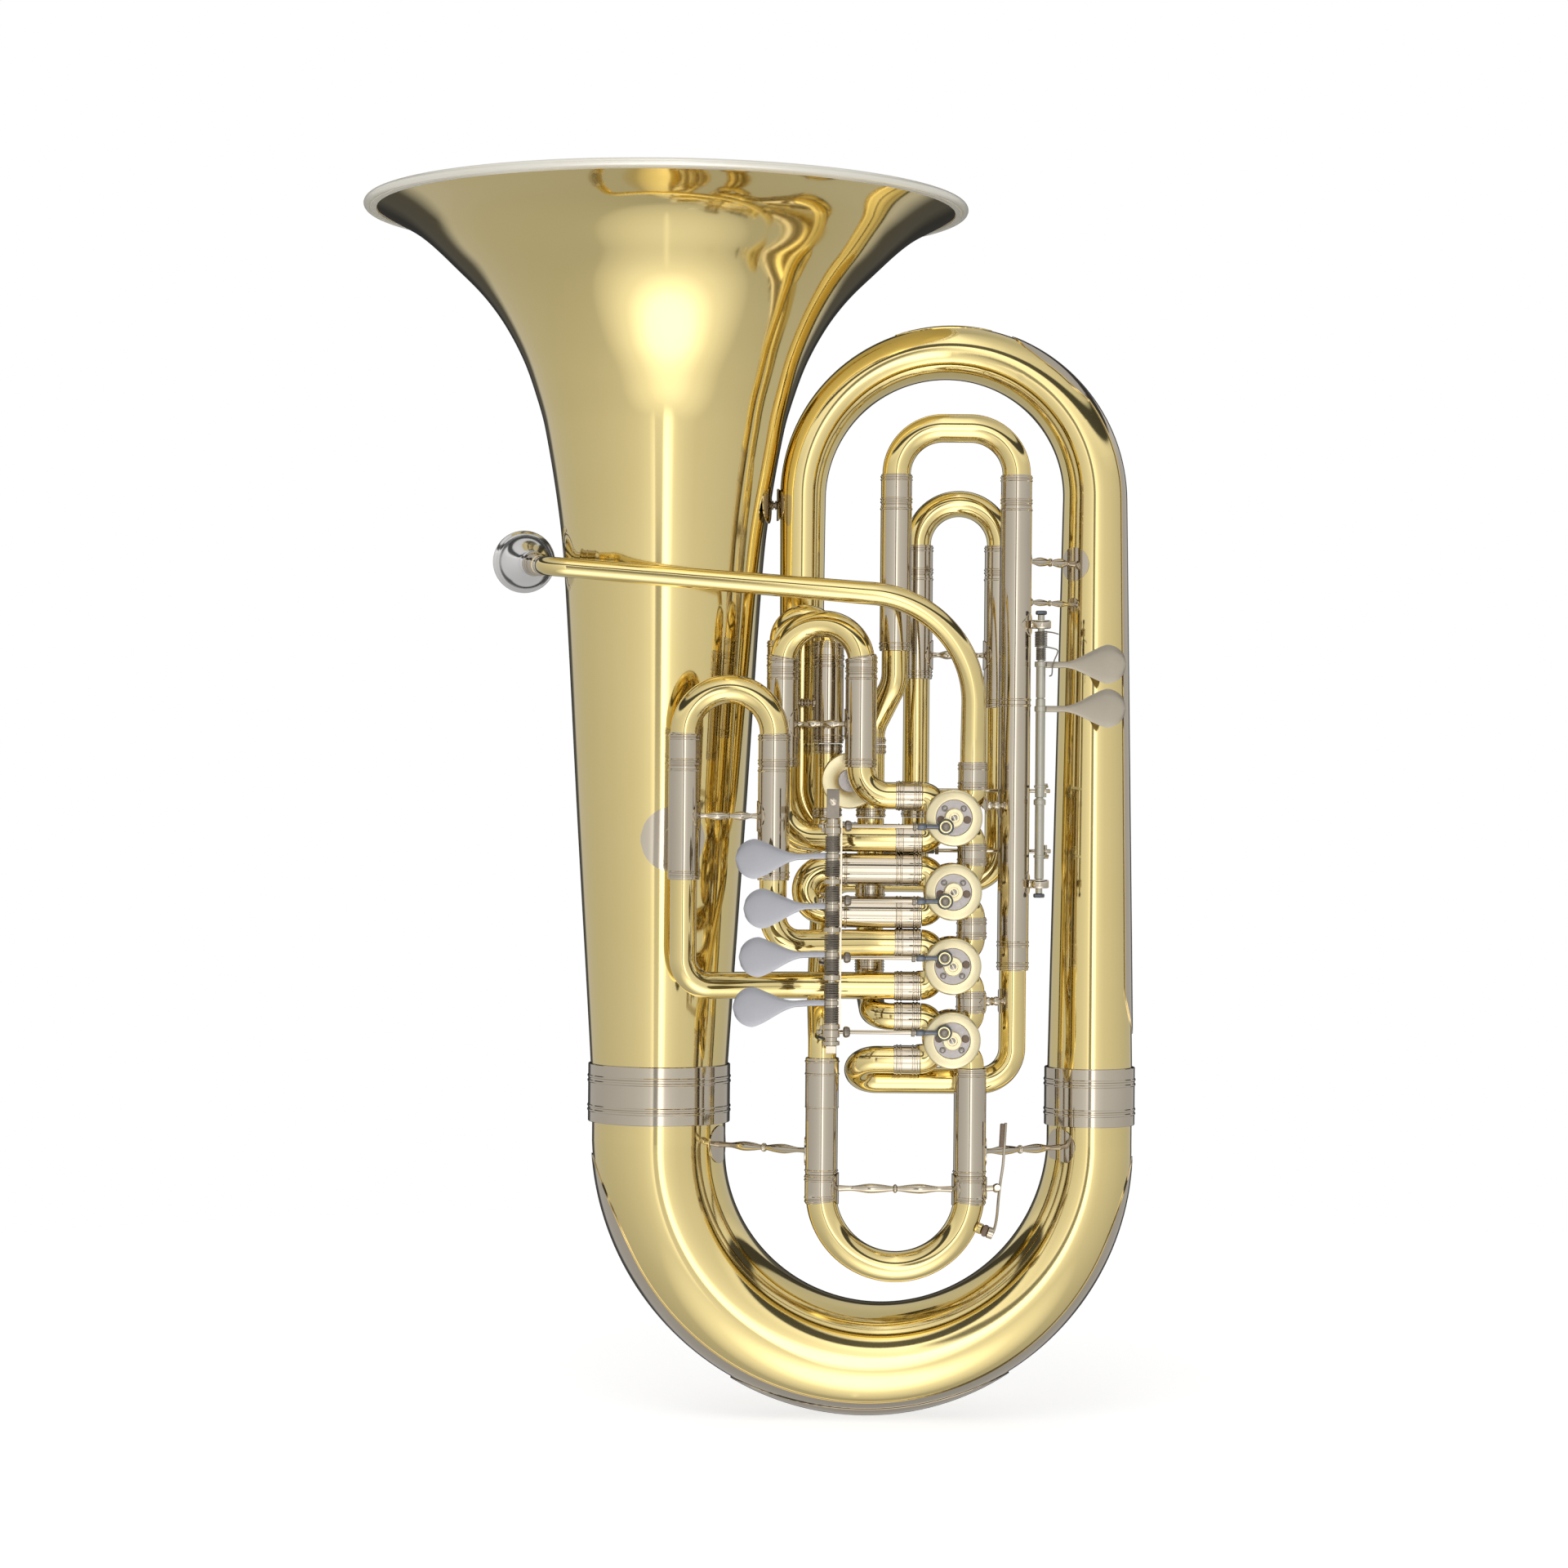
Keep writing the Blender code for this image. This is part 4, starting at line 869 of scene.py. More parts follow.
def link(number, crank_pin, eye_x, depth, front, half=2.4):
    """A rod from the steel ball joint on the crank pin to the eye on the lever's pin."""
    heading = 1 if eye_x > crank_pin.x else -1
    level_z = crank_pin.z
    centre = Vector((crank_pin.x, depth, level_z))
    body = f"link_{number}"
    way = X_AXIS * heading
    turns = [math.radians(15 * step) for step in range(-6, 7)]
    housing = [(4.4 + 1.45 * math.cos(turn), half * math.sin(turn)) for turn in turns]
    shank = [(1.9, 5.0), (1.7, 8), (1.7, 13.6), (2.3, 14.2), (2.3, 14.6)]
    lock_nut = [(1.2, 20.9), (2.8, 20.9), (3.1, 21.3), (3.1, 23.2), (2.8, 23.6), (1.2, 23.6)]
    steel = [
        turned(housing, centre, Y_AXIS, 48, True),
        turned(shank, centre, way, 24),
        hex_nut(centre + way * 14.6, way, 2.6, 5.8),
    ]
    make(f"{body}_joint", "steel", steel, body, [body])
    bearing = [
        (3.7, -half), (4.2, -half), (4.35, -half + 0.3), (4.35, half - 0.3), (4.2, half), (3.7, half),
    ]
    seat = [(1.8, -half + 0.7), (3.6, -half + 0.7), (3.6, half - 0.7), (1.8, half - 0.7)]
    head = [(1.6, 0), (2.6, 0.1), (2.7, 0.5), (2.3, 1.1), (1.3, 1.3), (1.2, 0.6), (0.2, 0.6)]
    outward = Vector((0, front, 0))
    make(f"{body}_bearing", "brass", [turned(bearing, centre, Y_AXIS, 40, True)], body)
    make(f"{body}_seat", "spring", [turned(seat, centre, Y_AXIS, 40, True)], body)
    make(f"{body}_pin_head", "spring", [turned(head, centre + outward * (half - 0.6), outward, 24)], body)
    span = abs(eye_x - crank_pin.x)
    run = [(1.4, 20), (1.4, span - 4.4), (1.3, span - 3.6)]
    eye = [(2.5, -1.5), (3.7, -1.5), (4.0, -1.1), (4.0, 1.1), (3.7, 1.5), (2.5, 1.5)]
    rods = [turned(run, centre, way, 20), turned(eye, (eye_x, depth, level_z), Z_AXIS, 32, True)]
    make(f"{body}_rod", "nickel", rods, body)
    stop = span - 15.5
    knob = [
        (1.2, stop - 5), (3.2, stop - 4.4), (4.0, stop - 2.6), (4.0, stop - 1), (3.2, stop),
        (1.2, stop + 0.4),
    ]
    make(f"{body}_knob", "spring", [turned(knob, centre, way, 24), turned(lock_nut, centre, way, 6)], body)


def lever_parts(rail, radius, level_z, above, side):
    swing = lever_swing(radius)
    pin = (rail[0] + side * CRANK_REACH, rail[1] + radius * math.cos(swing / 2))
    near = level_z + above * 2.4
    plate = slab(teardrop(rail, pin, 4.2, 2.6), level, near, near + above * 1.8)
    stud = rod((*pin, near + above * 0.9), (*pin, level_z - above * 4.6), 1.25)
    head = rod((*pin, near + above * 1.8), (*pin, near + above * 3.2), 2.2)
    return [plate, stud, head]


def spoon(rail, arm_z, pad_x, pad_z):
    """The touch piece: a round crowned pad that runs down in a smooth hollow curve to a slim arm."""
    side = 1 if pad_x > rail[0] else -1
    total = abs(pad_x - rail[0])
    steps = 44
    rings = []
    for step in range(steps + 1):
        out = -PAD + (total + PAD - 3) * step / steps
        if out < 0:
            half = math.sqrt(max(PAD**2 - out**2, 0.4))
        else:
            share = min(1, out / 33)
            half = PAD * (1 - share) ** 2 * (1 + 1.4 * share) + 2.3 * share**1.5
        shift = min(1, max(0, out / (total - 10)))
        middle = pad_z + (arm_z - pad_z) * (shift * shift * (3 - 2 * shift))
        x = pad_x - side * out
        ring = []
        rim = 10
        for front in (-1, 1):
            for index in range(rim + 1):
                across = (1 - 2 * index / rim) * front
                crown = math.sqrt(max(0, 1 - abs(across) ** 3.2))
                thick = 0.35 + 0.75 * crown
                dish = 0.9 * (1 - across**2) * (half / PAD)
                depth = rail[1] + front * thick - dish + 0.5
                ring.append(Vector((x, depth, middle + half * across)))
        rings.append(ring)
    return skin(rings)


def rail_ring(rail, low, high, radius, bore=2.8):
    edge = 0.4
    profile = [
        (bore, low), (radius - edge, low), (radius, low + edge), (radius, high - edge), (radius - edge, high),
        (bore, high),
    ]
    return turned(profile, (*rail, 0), Z_AXIS, 36, True)


def finger_paddles(crank_pins):
    radius = 29.5
    depth = link_depth(RAIL, radius)
    rows = (
        (417, 419.5, -89, (412, 446), 1), (382, 384, -83, (377, 395), 1),
        (347.6, 350, -86, (338, 356), -1), (312.3, 315.7, -90, (287.5, 322), -1),
    )
    for number, (crank_pin, row) in enumerate(zip(crank_pins, rows), 1):
        pad_z, arm_z, pad_x, (low, high), above = row
        body = f"paddle_{number}"
        link(number, crank_pin, RAIL[0] - CRANK_REACH, depth, -1)
        make(f"{body}_touch", "satin", [spoon(RAIL, arm_z, pad_x, pad_z)], body, [body])
        fittings = [rail_ring(RAIL, arm_z - 1.9, arm_z + 1.9, 5.1), rail_ring(RAIL, low, high, 4.2)]
        fittings += lever_parts(RAIL, radius, crank_pin.z, above, -1)
        make(f"{body}_sleeve", "nickel", fittings, body)
        springs = [coil(RAIL, arm_z + 2.8, arm_z + 14, 4.9), coil(RAIL, arm_z - 14.6, arm_z - 2.8, 4.9)]
        make(f"{body}_springs", "spring", springs, body)


def paddle_rail():
    x, y = RAIL
    shapes = [
        rod((x, y, 281), (x, y, 452), 2.5),
        rail_ring(RAIL, 435.2, 439.8, 6.1, 4.5),
        rail_ring(RAIL, 440.2, 442.5, 5.3, 4.5),
        block((x - 2.5, y + 1, 449), (x + 2.5, y + 66, 454)),
        block((x - 2.4, y + 48, 442.1), (x + 2.4, y + 65, 453)),
        block((x - 3.5, y - 3, 280), (x + 3.5, y + 52.5, 285.5)),
        rail_ring(RAIL, 285.8, 288.8, 6.0, 4.5),
        rail_ring(RAIL, 291.4, 296.8, 6.0, 4.5),
    ]
    for low, high in ((399.6, 403.4), (365.6, 369.2), (331.8, 335.6)):
        shapes.append(rail_ring(RAIL, low, high, 6.1))
    shapes.append(rail_ring(RAIL, 297.2, 300.8, 6.1, 4.5))
    shapes.append(block((x + 5.5, y + 1.2, 298), (x + 6.8, y + 3.2, 448)))
    make("rail_rod", "nickel", shapes, "body", ["paddle_rail"])
    make("rail_head", "spring", [block((x - 4.4, y - 3, 446.4), (x + 4.4, y + 3, 467))])
    make("rail_head_screw", "nickel", [screw((x, y - 2.8, 458), -Y_AXIS, 2.6, 1.3, Vector((1, 0, 1)))])


def thumb_spring():
    """The return spring over the thumb paddles: a close coil with a leg hooked round the upper arm."""
    x, y = THUMB_RAIL
    hook = [
        (x + 4.2, y - 2, 571.6), (x + 8.5, y - 3, 570.6), (x + 11.6, y - 3.4, 569.4),
        (x + 11.9, y - 3.4, 567.6), (x + 9.6, y - 3.6, 562), (x + 8.2, y - 3.8, 556.5),
        (x + 7.8, y - 3, 551.4), (x + 6.4, y - 1, 550.4),
    ]
    tail = [(x + 3.5, y - 2.6, 582.6), (x + 8, y - 5, 582), (x + 12.4, y - 6, 580.8)]
    legs = [swept([Vector(point) for point in smooth_table(points, 6)], 0.5, 10) for points in (hook, tail)]
    return [coil(THUMB_RAIL, 571.6, 583, 4.2, 0.5), coil(THUMB_RAIL, 562, 571, 3.3, 0.4, 0.95), *legs]


def thumb_paddles(pin_5, pin_6):
    pad_x = 165
    radius = 41.9
    link(5, pin_5, THUMB_RAIL[0] + CRANK_REACH, link_depth(THUMB_RAIL, radius), 1, 1.4)
    make("paddle_5_touch", "thumb", [spoon(THUMB_RAIL, 526.5, pad_x, 527.4)], "paddle_5", ["paddle_5"])
    shapes = [rail_ring(THUMB_RAIL, 462, 534, 3.5), rail_ring(THUMB_RAIL, 524.5, 528.5, 4.4)]
    shapes += lever_parts(THUMB_RAIL, radius, pin_5.z, 1, 1)
    make("paddle_5_tube", "shaft", shapes, "paddle_5")
    radius = 28.4
    link(6, pin_6, THUMB_RAIL[0] + CRANK_REACH, link_depth(THUMB_RAIL, radius), -1, 2.0)
    make("paddle_6_touch", "thumb", [spoon(THUMB_RAIL, 558.7, pad_x, 559.5)], "paddle_6", ["paddle_6"])
    shapes = [
        rod((*THUMB_RAIL, 392), (*THUMB_RAIL, 595), 2.5),
        rod((*THUMB_RAIL, 402.6), (*THUMB_RAIL, 461.4), 3.4),
        rod((*THUMB_RAIL, 534.6), (*THUMB_RAIL, 560), 3.4),
        rail_ring(THUMB_RAIL, 557, 561, 4.5),
        rail_ring(THUMB_RAIL, 456.5, 460.5, 4.4),
        *lever_parts(THUMB_RAIL, radius, pin_6.z, -1, 1),
    ]
    make("paddle_6_rod", "shaft", shapes, "paddle_6")
    make("paddle_6_spring", "spring", thumb_spring(), "paddle_6")
    x, y = THUMB_RAIL
    nuts = []
    for low in (396, 585):
        profile = [
            (3.0, low), (6.6, low), (7.2, low + 0.8), (7.2, low + 5.2), (6.6, low + 6), (3.0, low + 6),
        ]
        nuts.append(turned(profile, (x, y, 0), Z_AXIS, 40, True))
        nuts.append(rod((SLIDE_4_RIGHT[0] + 10.6, y, low + 3), (x - 5.5, y, low + 3), 3.2))
        nuts.append(patch((*SLIDE_4_RIGHT, low + 3), Z_AXIS, SLEEVE, (0.9, -0.5, 0), 9, 9, True))
    make("thumb_rail_posts", "nickel", nuts)
    caps = [hex_nut((x, y, 595), Z_AXIS, 4.2, 3), hex_nut((x, y, 392), -Z_AXIS, 4.2, 3)]
    make("thumb_rail_nuts", "steel", caps, "paddle_6")


# ---------------------------------------------------------------- tubing

def pipework(name, body, path, runs, nodes=()):
    """Tubes along one path, one piece for each finish; a run is (finish, start, end, radius, beads, bore)."""
    finishes = {}
    for finish, start, end, radius, beads, bore in runs:
        shape = sleeve(path, start, end, radius, beads, bore)
        finishes.setdefault(finish, []).append(shape)
    for index, (finish, shapes) in enumerate(finishes.items()):
        make(f"{name}_{finish}", finish, shapes, body, nodes if index == 0 else ())


def fixed_tube(name, path, sleeve_length, port=19, nodes=(), beads=None):
    """A port sleeve, a plain brass tube and the nickel sleeve that a slide's leg runs in."""
    total = length_of(path)
    start = total - sleeve_length
    if beads is None:
        beads = (2.6, 5.4, sleeve_length - 3)
    runs = [("brass", max(port - 3, 0), start + 3, TUBE, (), TUBE - WALL)]
    if port > 8:
        runs.append(("nickel", 0, port, PORT, pairs(port, 2.4, 2.6), TUBE - SUNK))
    elif port > 3:
        runs.append(("nickel", 0, port, PORT, (port / 2,), TUBE - SUNK))
    runs.append(("nickel", start, total, SLEEVE, beads, SLEEVE_BORE))
    pipework(name, "body", path, runs, nodes)


def slide_tube(name, path, inside, ferrule, bow, leg=LEG, ferrule_radius=FERRULE):
    """A moving slide: plain nickel legs, ringed ferrules and the brass bow between them."""
    total = length_of(path)
    outside = total - inside
    beads = pairs(ferrule, 1.8, 2.2) if ferrule > 9 else (ferrule / 2,)
    runs = [
        ("brass", inside + ferrule - 3, outside - ferrule + 3, bow, (), bow - WALL),
        ("nickel", inside, inside + ferrule, ferrule_radius, beads, bow - SUNK),
        ("nickel", outside - ferrule, outside, ferrule_radius, beads, bow - SUNK),
        ("nickel", 0, inside + 2, leg, (), leg - 0.7),
        ("nickel", outside - 2, total, leg, (), leg - 0.7),
    ]
    pipework(name, name, path, runs, [name])


def upright_slide(number, legs, top, bottom, sleeve_top, ferrule, bend, bow=TUBE):
    (ax, ay), (bx, by) = legs
    corners = ((ax, ay, bottom), (ax, ay, top), (bx, by, top), (bx, by, bottom))
    path = rounded(corners, (bend, bend))
    slide_tube(f"slide_{number}", path, sleeve_top + 0.3 - bottom, ferrule, bow)


def sleeve_brace(name, first, second, height, flange=11):
    """A turned brace between two upright sleeves, with a round flange on each."""
    first = Vector((*first, height))
    second = Vector((*second, height))
    way = (second - first).normalized()
    shapes = [
        spindle(first + way * (SLEEVE - 0.2), second - way * (SLEEVE - 0.2), 3.2),
        patch(first, Z_AXIS, SLEEVE, way, flange, flange),
        patch(second, Z_AXIS, SLEEVE, -way, flange, flange),
    ]
    make(name, "nickel", shapes)


def valve_1_loop():
    high, low = ports(1)
    sleeve_top = 550
    sleeve_length = 67.4
    right = (-14, VALVE_Y)
    left = (-70.6, -73)
    upper = rounded((at_front(PORT_START, high), (*right, high), (*right, sleeve_top)), (20,))
    corners = (at_front(PORT_START, low), at_front(-20, low), (*left, low), (*left, sleeve_top))
    fixed_tube("valve_1_upper", upper, sleeve_length, nodes=["valve_1_tubing"])
    fixed_tube("valve_1_lower", rounded(corners, (60, 26)), sleeve_length)
    sleeve_brace("valve_1_brace", right, left, 514)
    upright_slide(1, (right, left), 586.6, 488, sleeve_top, 12.6, 28)


def valve_2_loop():
    high, low = ports(2)
    bow_x = -53.2
    shapes = []
    for height in (high, low):
        run = [Vector(at_front(PORT_START, height)), Vector(at_front(-27, height))]
        shapes.append(sleeve(run, 0, 57.7, SLEEVE, (2.4, 5, 15, 17.6, 54.8), SLEEVE_BORE))
    make("valve_2_sleeve_pair", "nickel", shapes, "body", ["valve_2_sleeves"])
    corners = (at_front(26, high), at_front(bow_x, high), at_front(bow_x, low), at_front(26, low))
    slide_tube("slide_2", rounded(corners, (15.4, 15.4)), 53.3, 6, TUBE, ferrule_radius=10.5)


def valve_3_loop():
    high, low = ports(3)
    sleeve_top = 482.6
    left = SLIDE_3_LEFT
    right = (-76.5, left[1])
    for name, height, turn_x, leg, nodes in (
        ("valve_3_upper", high, -5, right, ["valve_3_tubing"]), ("valve_3_lower", low, -60, left, []),
    ):
        start = at_front(PORT_START, height)
        corners = (start, at_front(turn_x, height), (*leg, height), (*leg, sleeve_top))
        fixed_tube(name, rounded(corners, (60, 20)), 81.6, nodes=nodes)
    sleeve_brace("valve_3_brace", right, left, 447)
    upright_slide(3, (left, right), 538.1, 410, sleeve_top, 23.2, 32.1, 10.35)


def valve_4_loop():
    high, low = ports(4)
    sleeve_top = 674.6
    right = SLIDE_4_RIGHT
    left = (11, right[1])
    port_5 = (VALVE_5[0] + 16, VALVE_5[1])
    corners = (at_front(PORT_START, high), at_front(-3, high), (*port_5, 318), (*port_5, 445.7))
    path = rounded(corners, (14, 14))
    total = length_of(path)
    runs = [
        ("brass", 16, total, TUBE, (), TUBE - WALL),
        ("nickel", 0, 19, PORT, pairs(19, 2.4, 2.6), TUBE - SUNK),
        ("nickel", total - 113, total - 103, PORT, pairs(10, 1.8, 2.2), TUBE - SUNK),
        ("nickel", total - 60.5, total - 46.5, PORT + 0.3, pairs(14, 2, 2.4), TUBE - SUNK),
    ]
    pipework("valve_4_to_5", "body", path, runs, ["valve_4_to_5_tube"])
    corners = ((*port_5, 500.3), (*port_5, 512), (*left, 545), (*left, sleeve_top))
    path = rounded(corners, (25, 25))
    fixed_tube("slide_4_left", path, 106.6, port=5, nodes=["slide_4_left_sleeve"])
    corners = (
        at_front(PORT_START, low), at_front(-14, low), (-14, -62, 255), (right[0], -61, 255),
        (*right, sleeve_top),
    )
    path = rounded(corners, (14, 14, 24))
    beads = (2.6, 5.4, 18, 20.6, 193.5, 197.5, 336)
    fixed_tube("slide_4_right", path, 339, nodes=["slide_4_right_sleeve"], beads=beads)
    upright_slide(4, (left, right), 731, 580, sleeve_top, 22.1, 34, 10.35)


def valve_5_loop():
    x5, y5, _ = VALVE_5
    sleeve_top = 560
    right = (x5 - 16, y5)
    left = (-71, y5)
    short = sleeve(upright(right, 500.3, sleeve_top), 0, 59.7, SLEEVE, (2.6, 5.4, 56.7), SLEEVE_BORE)
    make("slide_5_short_sleeve", "nickel", [short])
    long = rounded(((*right, 445.7), (*right, 427), (*left, 427), (*left, sleeve_top)), (16.7, 16.7))
    fixed_tube("slide_5_long", long, 59, port=1, nodes=["slide_5_tubing"])
    sleeve_brace("slide_5_brace", right, left, 530, 6)
    upright_slide(5, (left, right), 592, 508, sleeve_top, 15, 16.7)


def valve_6_loop():
    _, y6, z6 = VALVE_6
    sleeve_top = 626
    left = (28.5, y6)
    right = (89.7, y6)
    straight = upright(left, 446.3, sleeve_top)
    bent = rounded(((42.3, y6, z6 - PORT_RISE), (*right, z6 - PORT_RISE), (*right, sleeve_top)), (22,))
    fixed_tube("slide_6_left", straight, 77, port=5, nodes=["slide_6_tubing"])
    fixed_tube("slide_6_right", bent, 98, port=5)
    sleeve_brace("slide_6_brace", left, right, 567)
    upright_slide(6, (left, right), 679.3, 556, sleeve_top, 22, 30.5)


def main_slide_group():
    left = (-39.9, VALVE_Y)
    right = (KNUCKLE_X, VALVE_Y)
    sleeve_low = 188.3
    brace_z = 178
    _, y6, z6 = VALVE_6
    port = (y6, z6 - PORT_RISE)
    corners = ((*left, sleeve_low), (*left, 284), (-41, -62, 316), (-38, *port), (-12.3, *port))
    path = rounded(corners, (15, 30, 18))
    total = length_of(path)
    runs = [
        ("brass", 82, total, MAIN_TUBE, (), MAIN_TUBE - WALL),
        ("nickel", 0, 84.2, MAIN_SLEEVE, (2.6, 48.5), MAIN_SLEEVE_BORE),
        ("nickel", 48.5, 84.2, MAIN_SLEEVE + 0.35, (24, 33), MAIN_SLEEVE_BORE),
    ]
    pipework("main_left", "body", path, runs, ["main_sleeve_left"])
    run = upright(right, sleeve_low, 265.7)
    shape = sleeve(run, 0, 77.4, MAIN_SLEEVE, (2.6, 72, 75), MAIN_SLEEVE_BORE)
    make("main_right_sleeve", "nickel", [shape], "body", ["main_sleeve_right"])
    radius = (right[0] - left[0]) / 2
    low = 175.2 - radius
    corners = ((*right, 260), (*right, low), (*left, low), (*left, 260))
    path = rounded(corners, (radius, radius), math.radians(3))
    slide_tube("main_slide", path, 72, 20, MAIN_BOW, MAIN_LEG, MAIN_SLEEVE + 0.2)
    first = Vector((*left, brace_z))
    second = Vector((*right, brace_z))
    reach = X_AXIS * (MAIN_SLEEVE + 0.1)
    shapes = [
        spindle(first + reach, second - reach, 3.4),
        patch(first, Z_AXIS, MAIN_SLEEVE + 0.3, X_AXIS, 11.5, 11.5),
        patch(second, Z_AXIS, MAIN_SLEEVE + 0.3, -X_AXIS, 11.5, 11.5),
    ]
    make("main_slide_brace", "nickel", shapes, "main_slide")
    bow_braces(left, right)
    water_key()


def bow_braces(left, right):
    """The two stays from the main sleeves to the bottom bow, each with a round flange on the bow."""
    shapes = []
    ends_on_bow = (
        (left, 204.5, Vector((-114.6, -20.2, 203)), Vector((-LIMB_X, 0, 203)), BOW_RADII[0]),
        (right, 205, Vector((134.4, -23, 203)), Vector((LIMB_X, 0, 203)), BOW_RADII[2]),
    )
    for sleeve_place, height, foot, axis_point, radius in ends_on_bow:
        start = Vector((*sleeve_place, height))
        way = (foot - start).normalized()
        outward = (foot - axis_point).normalized()
        touch = axis_point + outward * (radius + 0.4)
        shapes += [
            spindle(start + way * (MAIN_SLEEVE - 0.2), touch, 3.4),
            patch(start, Z_AXIS, MAIN_SLEEVE, way, 11.5, 11.5),
            patch(axis_point, Z_AXIS, radius + 0.1, outward, 14, 14),
        ]
    make("bow_stays", "nickel", shapes)


def water_key():
    """The drain key on the main slide: a bent lever on a hinge post, with a cork pad on its nozzle."""
    hinge = Vector((84, VALVE_Y, 179))
    body = "water_key"
    lever = (
        (93.2, 226.5), (92.4, 212), (91.4, 196), (89.6, 183), (88.4, 172), (87.2, 158), (85.0, 148),
        (82.2, 143.6),
    )
    smooth = [Vector(point) for point in smooth_table([(x, VALVE_Y - 3.2, z) for x, z in lever], 6)]
    width = [(0, 2.2), (20, 1.6), (42, 1.7), (55, 3.0), (70, 3.3), (86, 2.6), (100, 2.0)]
    rings = []
    travelled = 0
    for index, point in enumerate(smooth):
        if index:
            travelled += (point - smooth[index - 1]).length
        ahead = smooth[min(index + 1, len(smooth) - 1)] - smooth[max(index - 1, 0)]
        side = Y_AXIS.cross(ahead).normalized()
        half = read_table(width, travelled)
        ring = []
        for step in range(16):
            turn = 2 * math.pi * step / 16
            ring.append(point + Y_AXIS * half * math.cos(turn) + side * math.sin(turn))
        rings.append(ring)
    shapes = [skin(rings), rod((80.6, VALVE_Y - 3.2, 147.6), (84.6, VALVE_Y - 3.2, 146.2), 4.2)]
    shapes.append(rod((87.4, VALVE_Y - 7, 180), (87.4, VALVE_Y + 1, 180), 2.4))
    make("water_key_lever", "nickel", shapes, body, ["water_key"])
    corks = [
        rod((77.2, VALVE_Y - 2.4, 149), (80.6, VALVE_Y - 3, 147.8), 4.4, 28, 0.9),
        rod((90.2, VALVE_Y - 3.2, 209), (91, VALVE_Y - 3.2, 226), 1.9, 20, 0.5),
    ]
    make("water_key_corks", "cork", corks, body)
    post = [
        rod((KNUCKLE_X + 11, VALVE_Y, 178.6), hinge + X_AXIS * 2, 2.0),
        ball(hinge + X_AXIS * 3, 3.3),
        patch((KNUCKLE_X, VALVE_Y, 179), Z_AXIS, MAIN_SLEEVE + 0.3, X_AXIS, 8, 7),
    ]
    make("water_key_post", "nickel", post, "main_slide")
    nozzle = [rod((73.5, VALVE_Y, 150.4), (76.8, VALVE_Y - 1, 149.2), 3.9)]
    make("water_key_nozzle", "brass", nozzle, "main_slide")


# ---------------------------------------------------------------- stays and flanges

def bell_stay():
    """The stay between the bell and the third slide's sleeve, on a round plate with a diamond over it."""
    middle = math.radians(-80)
    height = 433
    slope = (bell_radius(height + 20) - bell_radius(height - 20)) / 40
    outward = Vector((math.cos(middle), math.sin(middle), 0))
    axis = Vector((-LIMB_X, 0, height))
    upward = (Z_AXIS + outward * slope).normalized()
    radius = bell_radius(height)
    foot = axis + outward * (radius + 1)
    tip = Vector((-142.5, -94.8, height))
    shapes = [
        patch(axis, upward, radius + 0.3, outward, 24, 24, thickness=0.9),
        patch(axis + outward * 1.0, upward, radius + 0.3, outward, 14, 10, True, 0.9),
        spindle(foot, tip, 3.2),
        patch((*SLIDE_3_LEFT, height), Z_AXIS, SLEEVE, (-0.1, 1, 0), 9, 9),
    ]
    make("bell_stay", "nickel", shapes, "body", ["bell_brace"])


def branch_point(height):
    """The branch's centre and radius at a height on its straight right leg."""
    table = [(240.2, 31.5), (262, 31.5), (530, 26.5), (684, 23.5)]
    return Vector((LIMB_X, 0, height)), read_table(table, height)


def stays():
    """The turned stays that tie the branch, the bell, the leadpipe and the fourth valve's tube together."""
    shapes = []
    for height, thick, flange in ((635, 3.3, 12.5), (605, 2.4, 5)):
        centre, radius = branch_point(height)
        outward = (Vector((120, -45, height)) - centre).normalized()
        start = Vector((*SLIDE_4_RIGHT, height))
        touch = centre + outward * (radius + 0.3)
        way = (touch - start).normalized()
        shapes.append(spindle(start + way * (SLEEVE - 0.2), touch, thick))
        shapes.append(patch(centre, Z_AXIS, radius + 0.1, outward, flange, flange))
        if height < 620:
            shapes.append(ball(start + way * (SLEEVE + 2.6), 3.5))
        shapes.append(patch(start, Z_AXIS, SLEEVE, way, 7, 7, height < 620))
    bell_side = Vector((-LIMB_X, 0, 678))
    reach = bell_radius(bell_side.z)
    left_leg = Vector((BRANCH_LEFT_X, 0, 678))
    shapes.append(spindle(bell_side + X_AXIS * (reach - 0.5), left_leg - X_AXIS * 18.5, 3.6))
    shapes.append(patch(bell_side, Z_AXIS, reach + 0.2, (1, -0.25, 0), 15, 13))
    shapes.append(patch(left_leg, Z_AXIS, 18.8, (-1, -0.2, 0), 12, 11))
    for height, radius in ((456, SLEEVE), (313.5, TUBE)):
        start = Vector(at_front(KNUCKLE_X, height))
        end = Vector((*SLIDE_4_RIGHT, height))
        way = (end - start).normalized()
        shapes.append(spindle(start + way * 10.4, end - way * (radius - 0.1), 3.3))
        shapes.append(patch(start, Z_AXIS, 10.6, (1, -0.4, 0), 6.5, 6.5, True))
        shapes.append(patch(end, Z_AXIS, radius, (-1, -0.6, 0), 9, 8))
    make("turned_stays", "nickel", shapes)


# ---------------------------------------------------------------- camera, studio and floor

def ramp(tree, source, stops, name):
    node = tree.nodes.new("ShaderNodeValToRGB")
    node.name = name
    node.color_ramp.interpolation = "LINEAR"
    elements = node.color_ramp.elements
    while len(elements) < len(stops):
        elements.new(0.5)
    for element, (place, value) in zip(elements, stops):
        element.position = place
        element.color = (value, value, value, 1)
    tree.links.new(source, node.inputs["Fac"])
    return node.outputs["Color"]


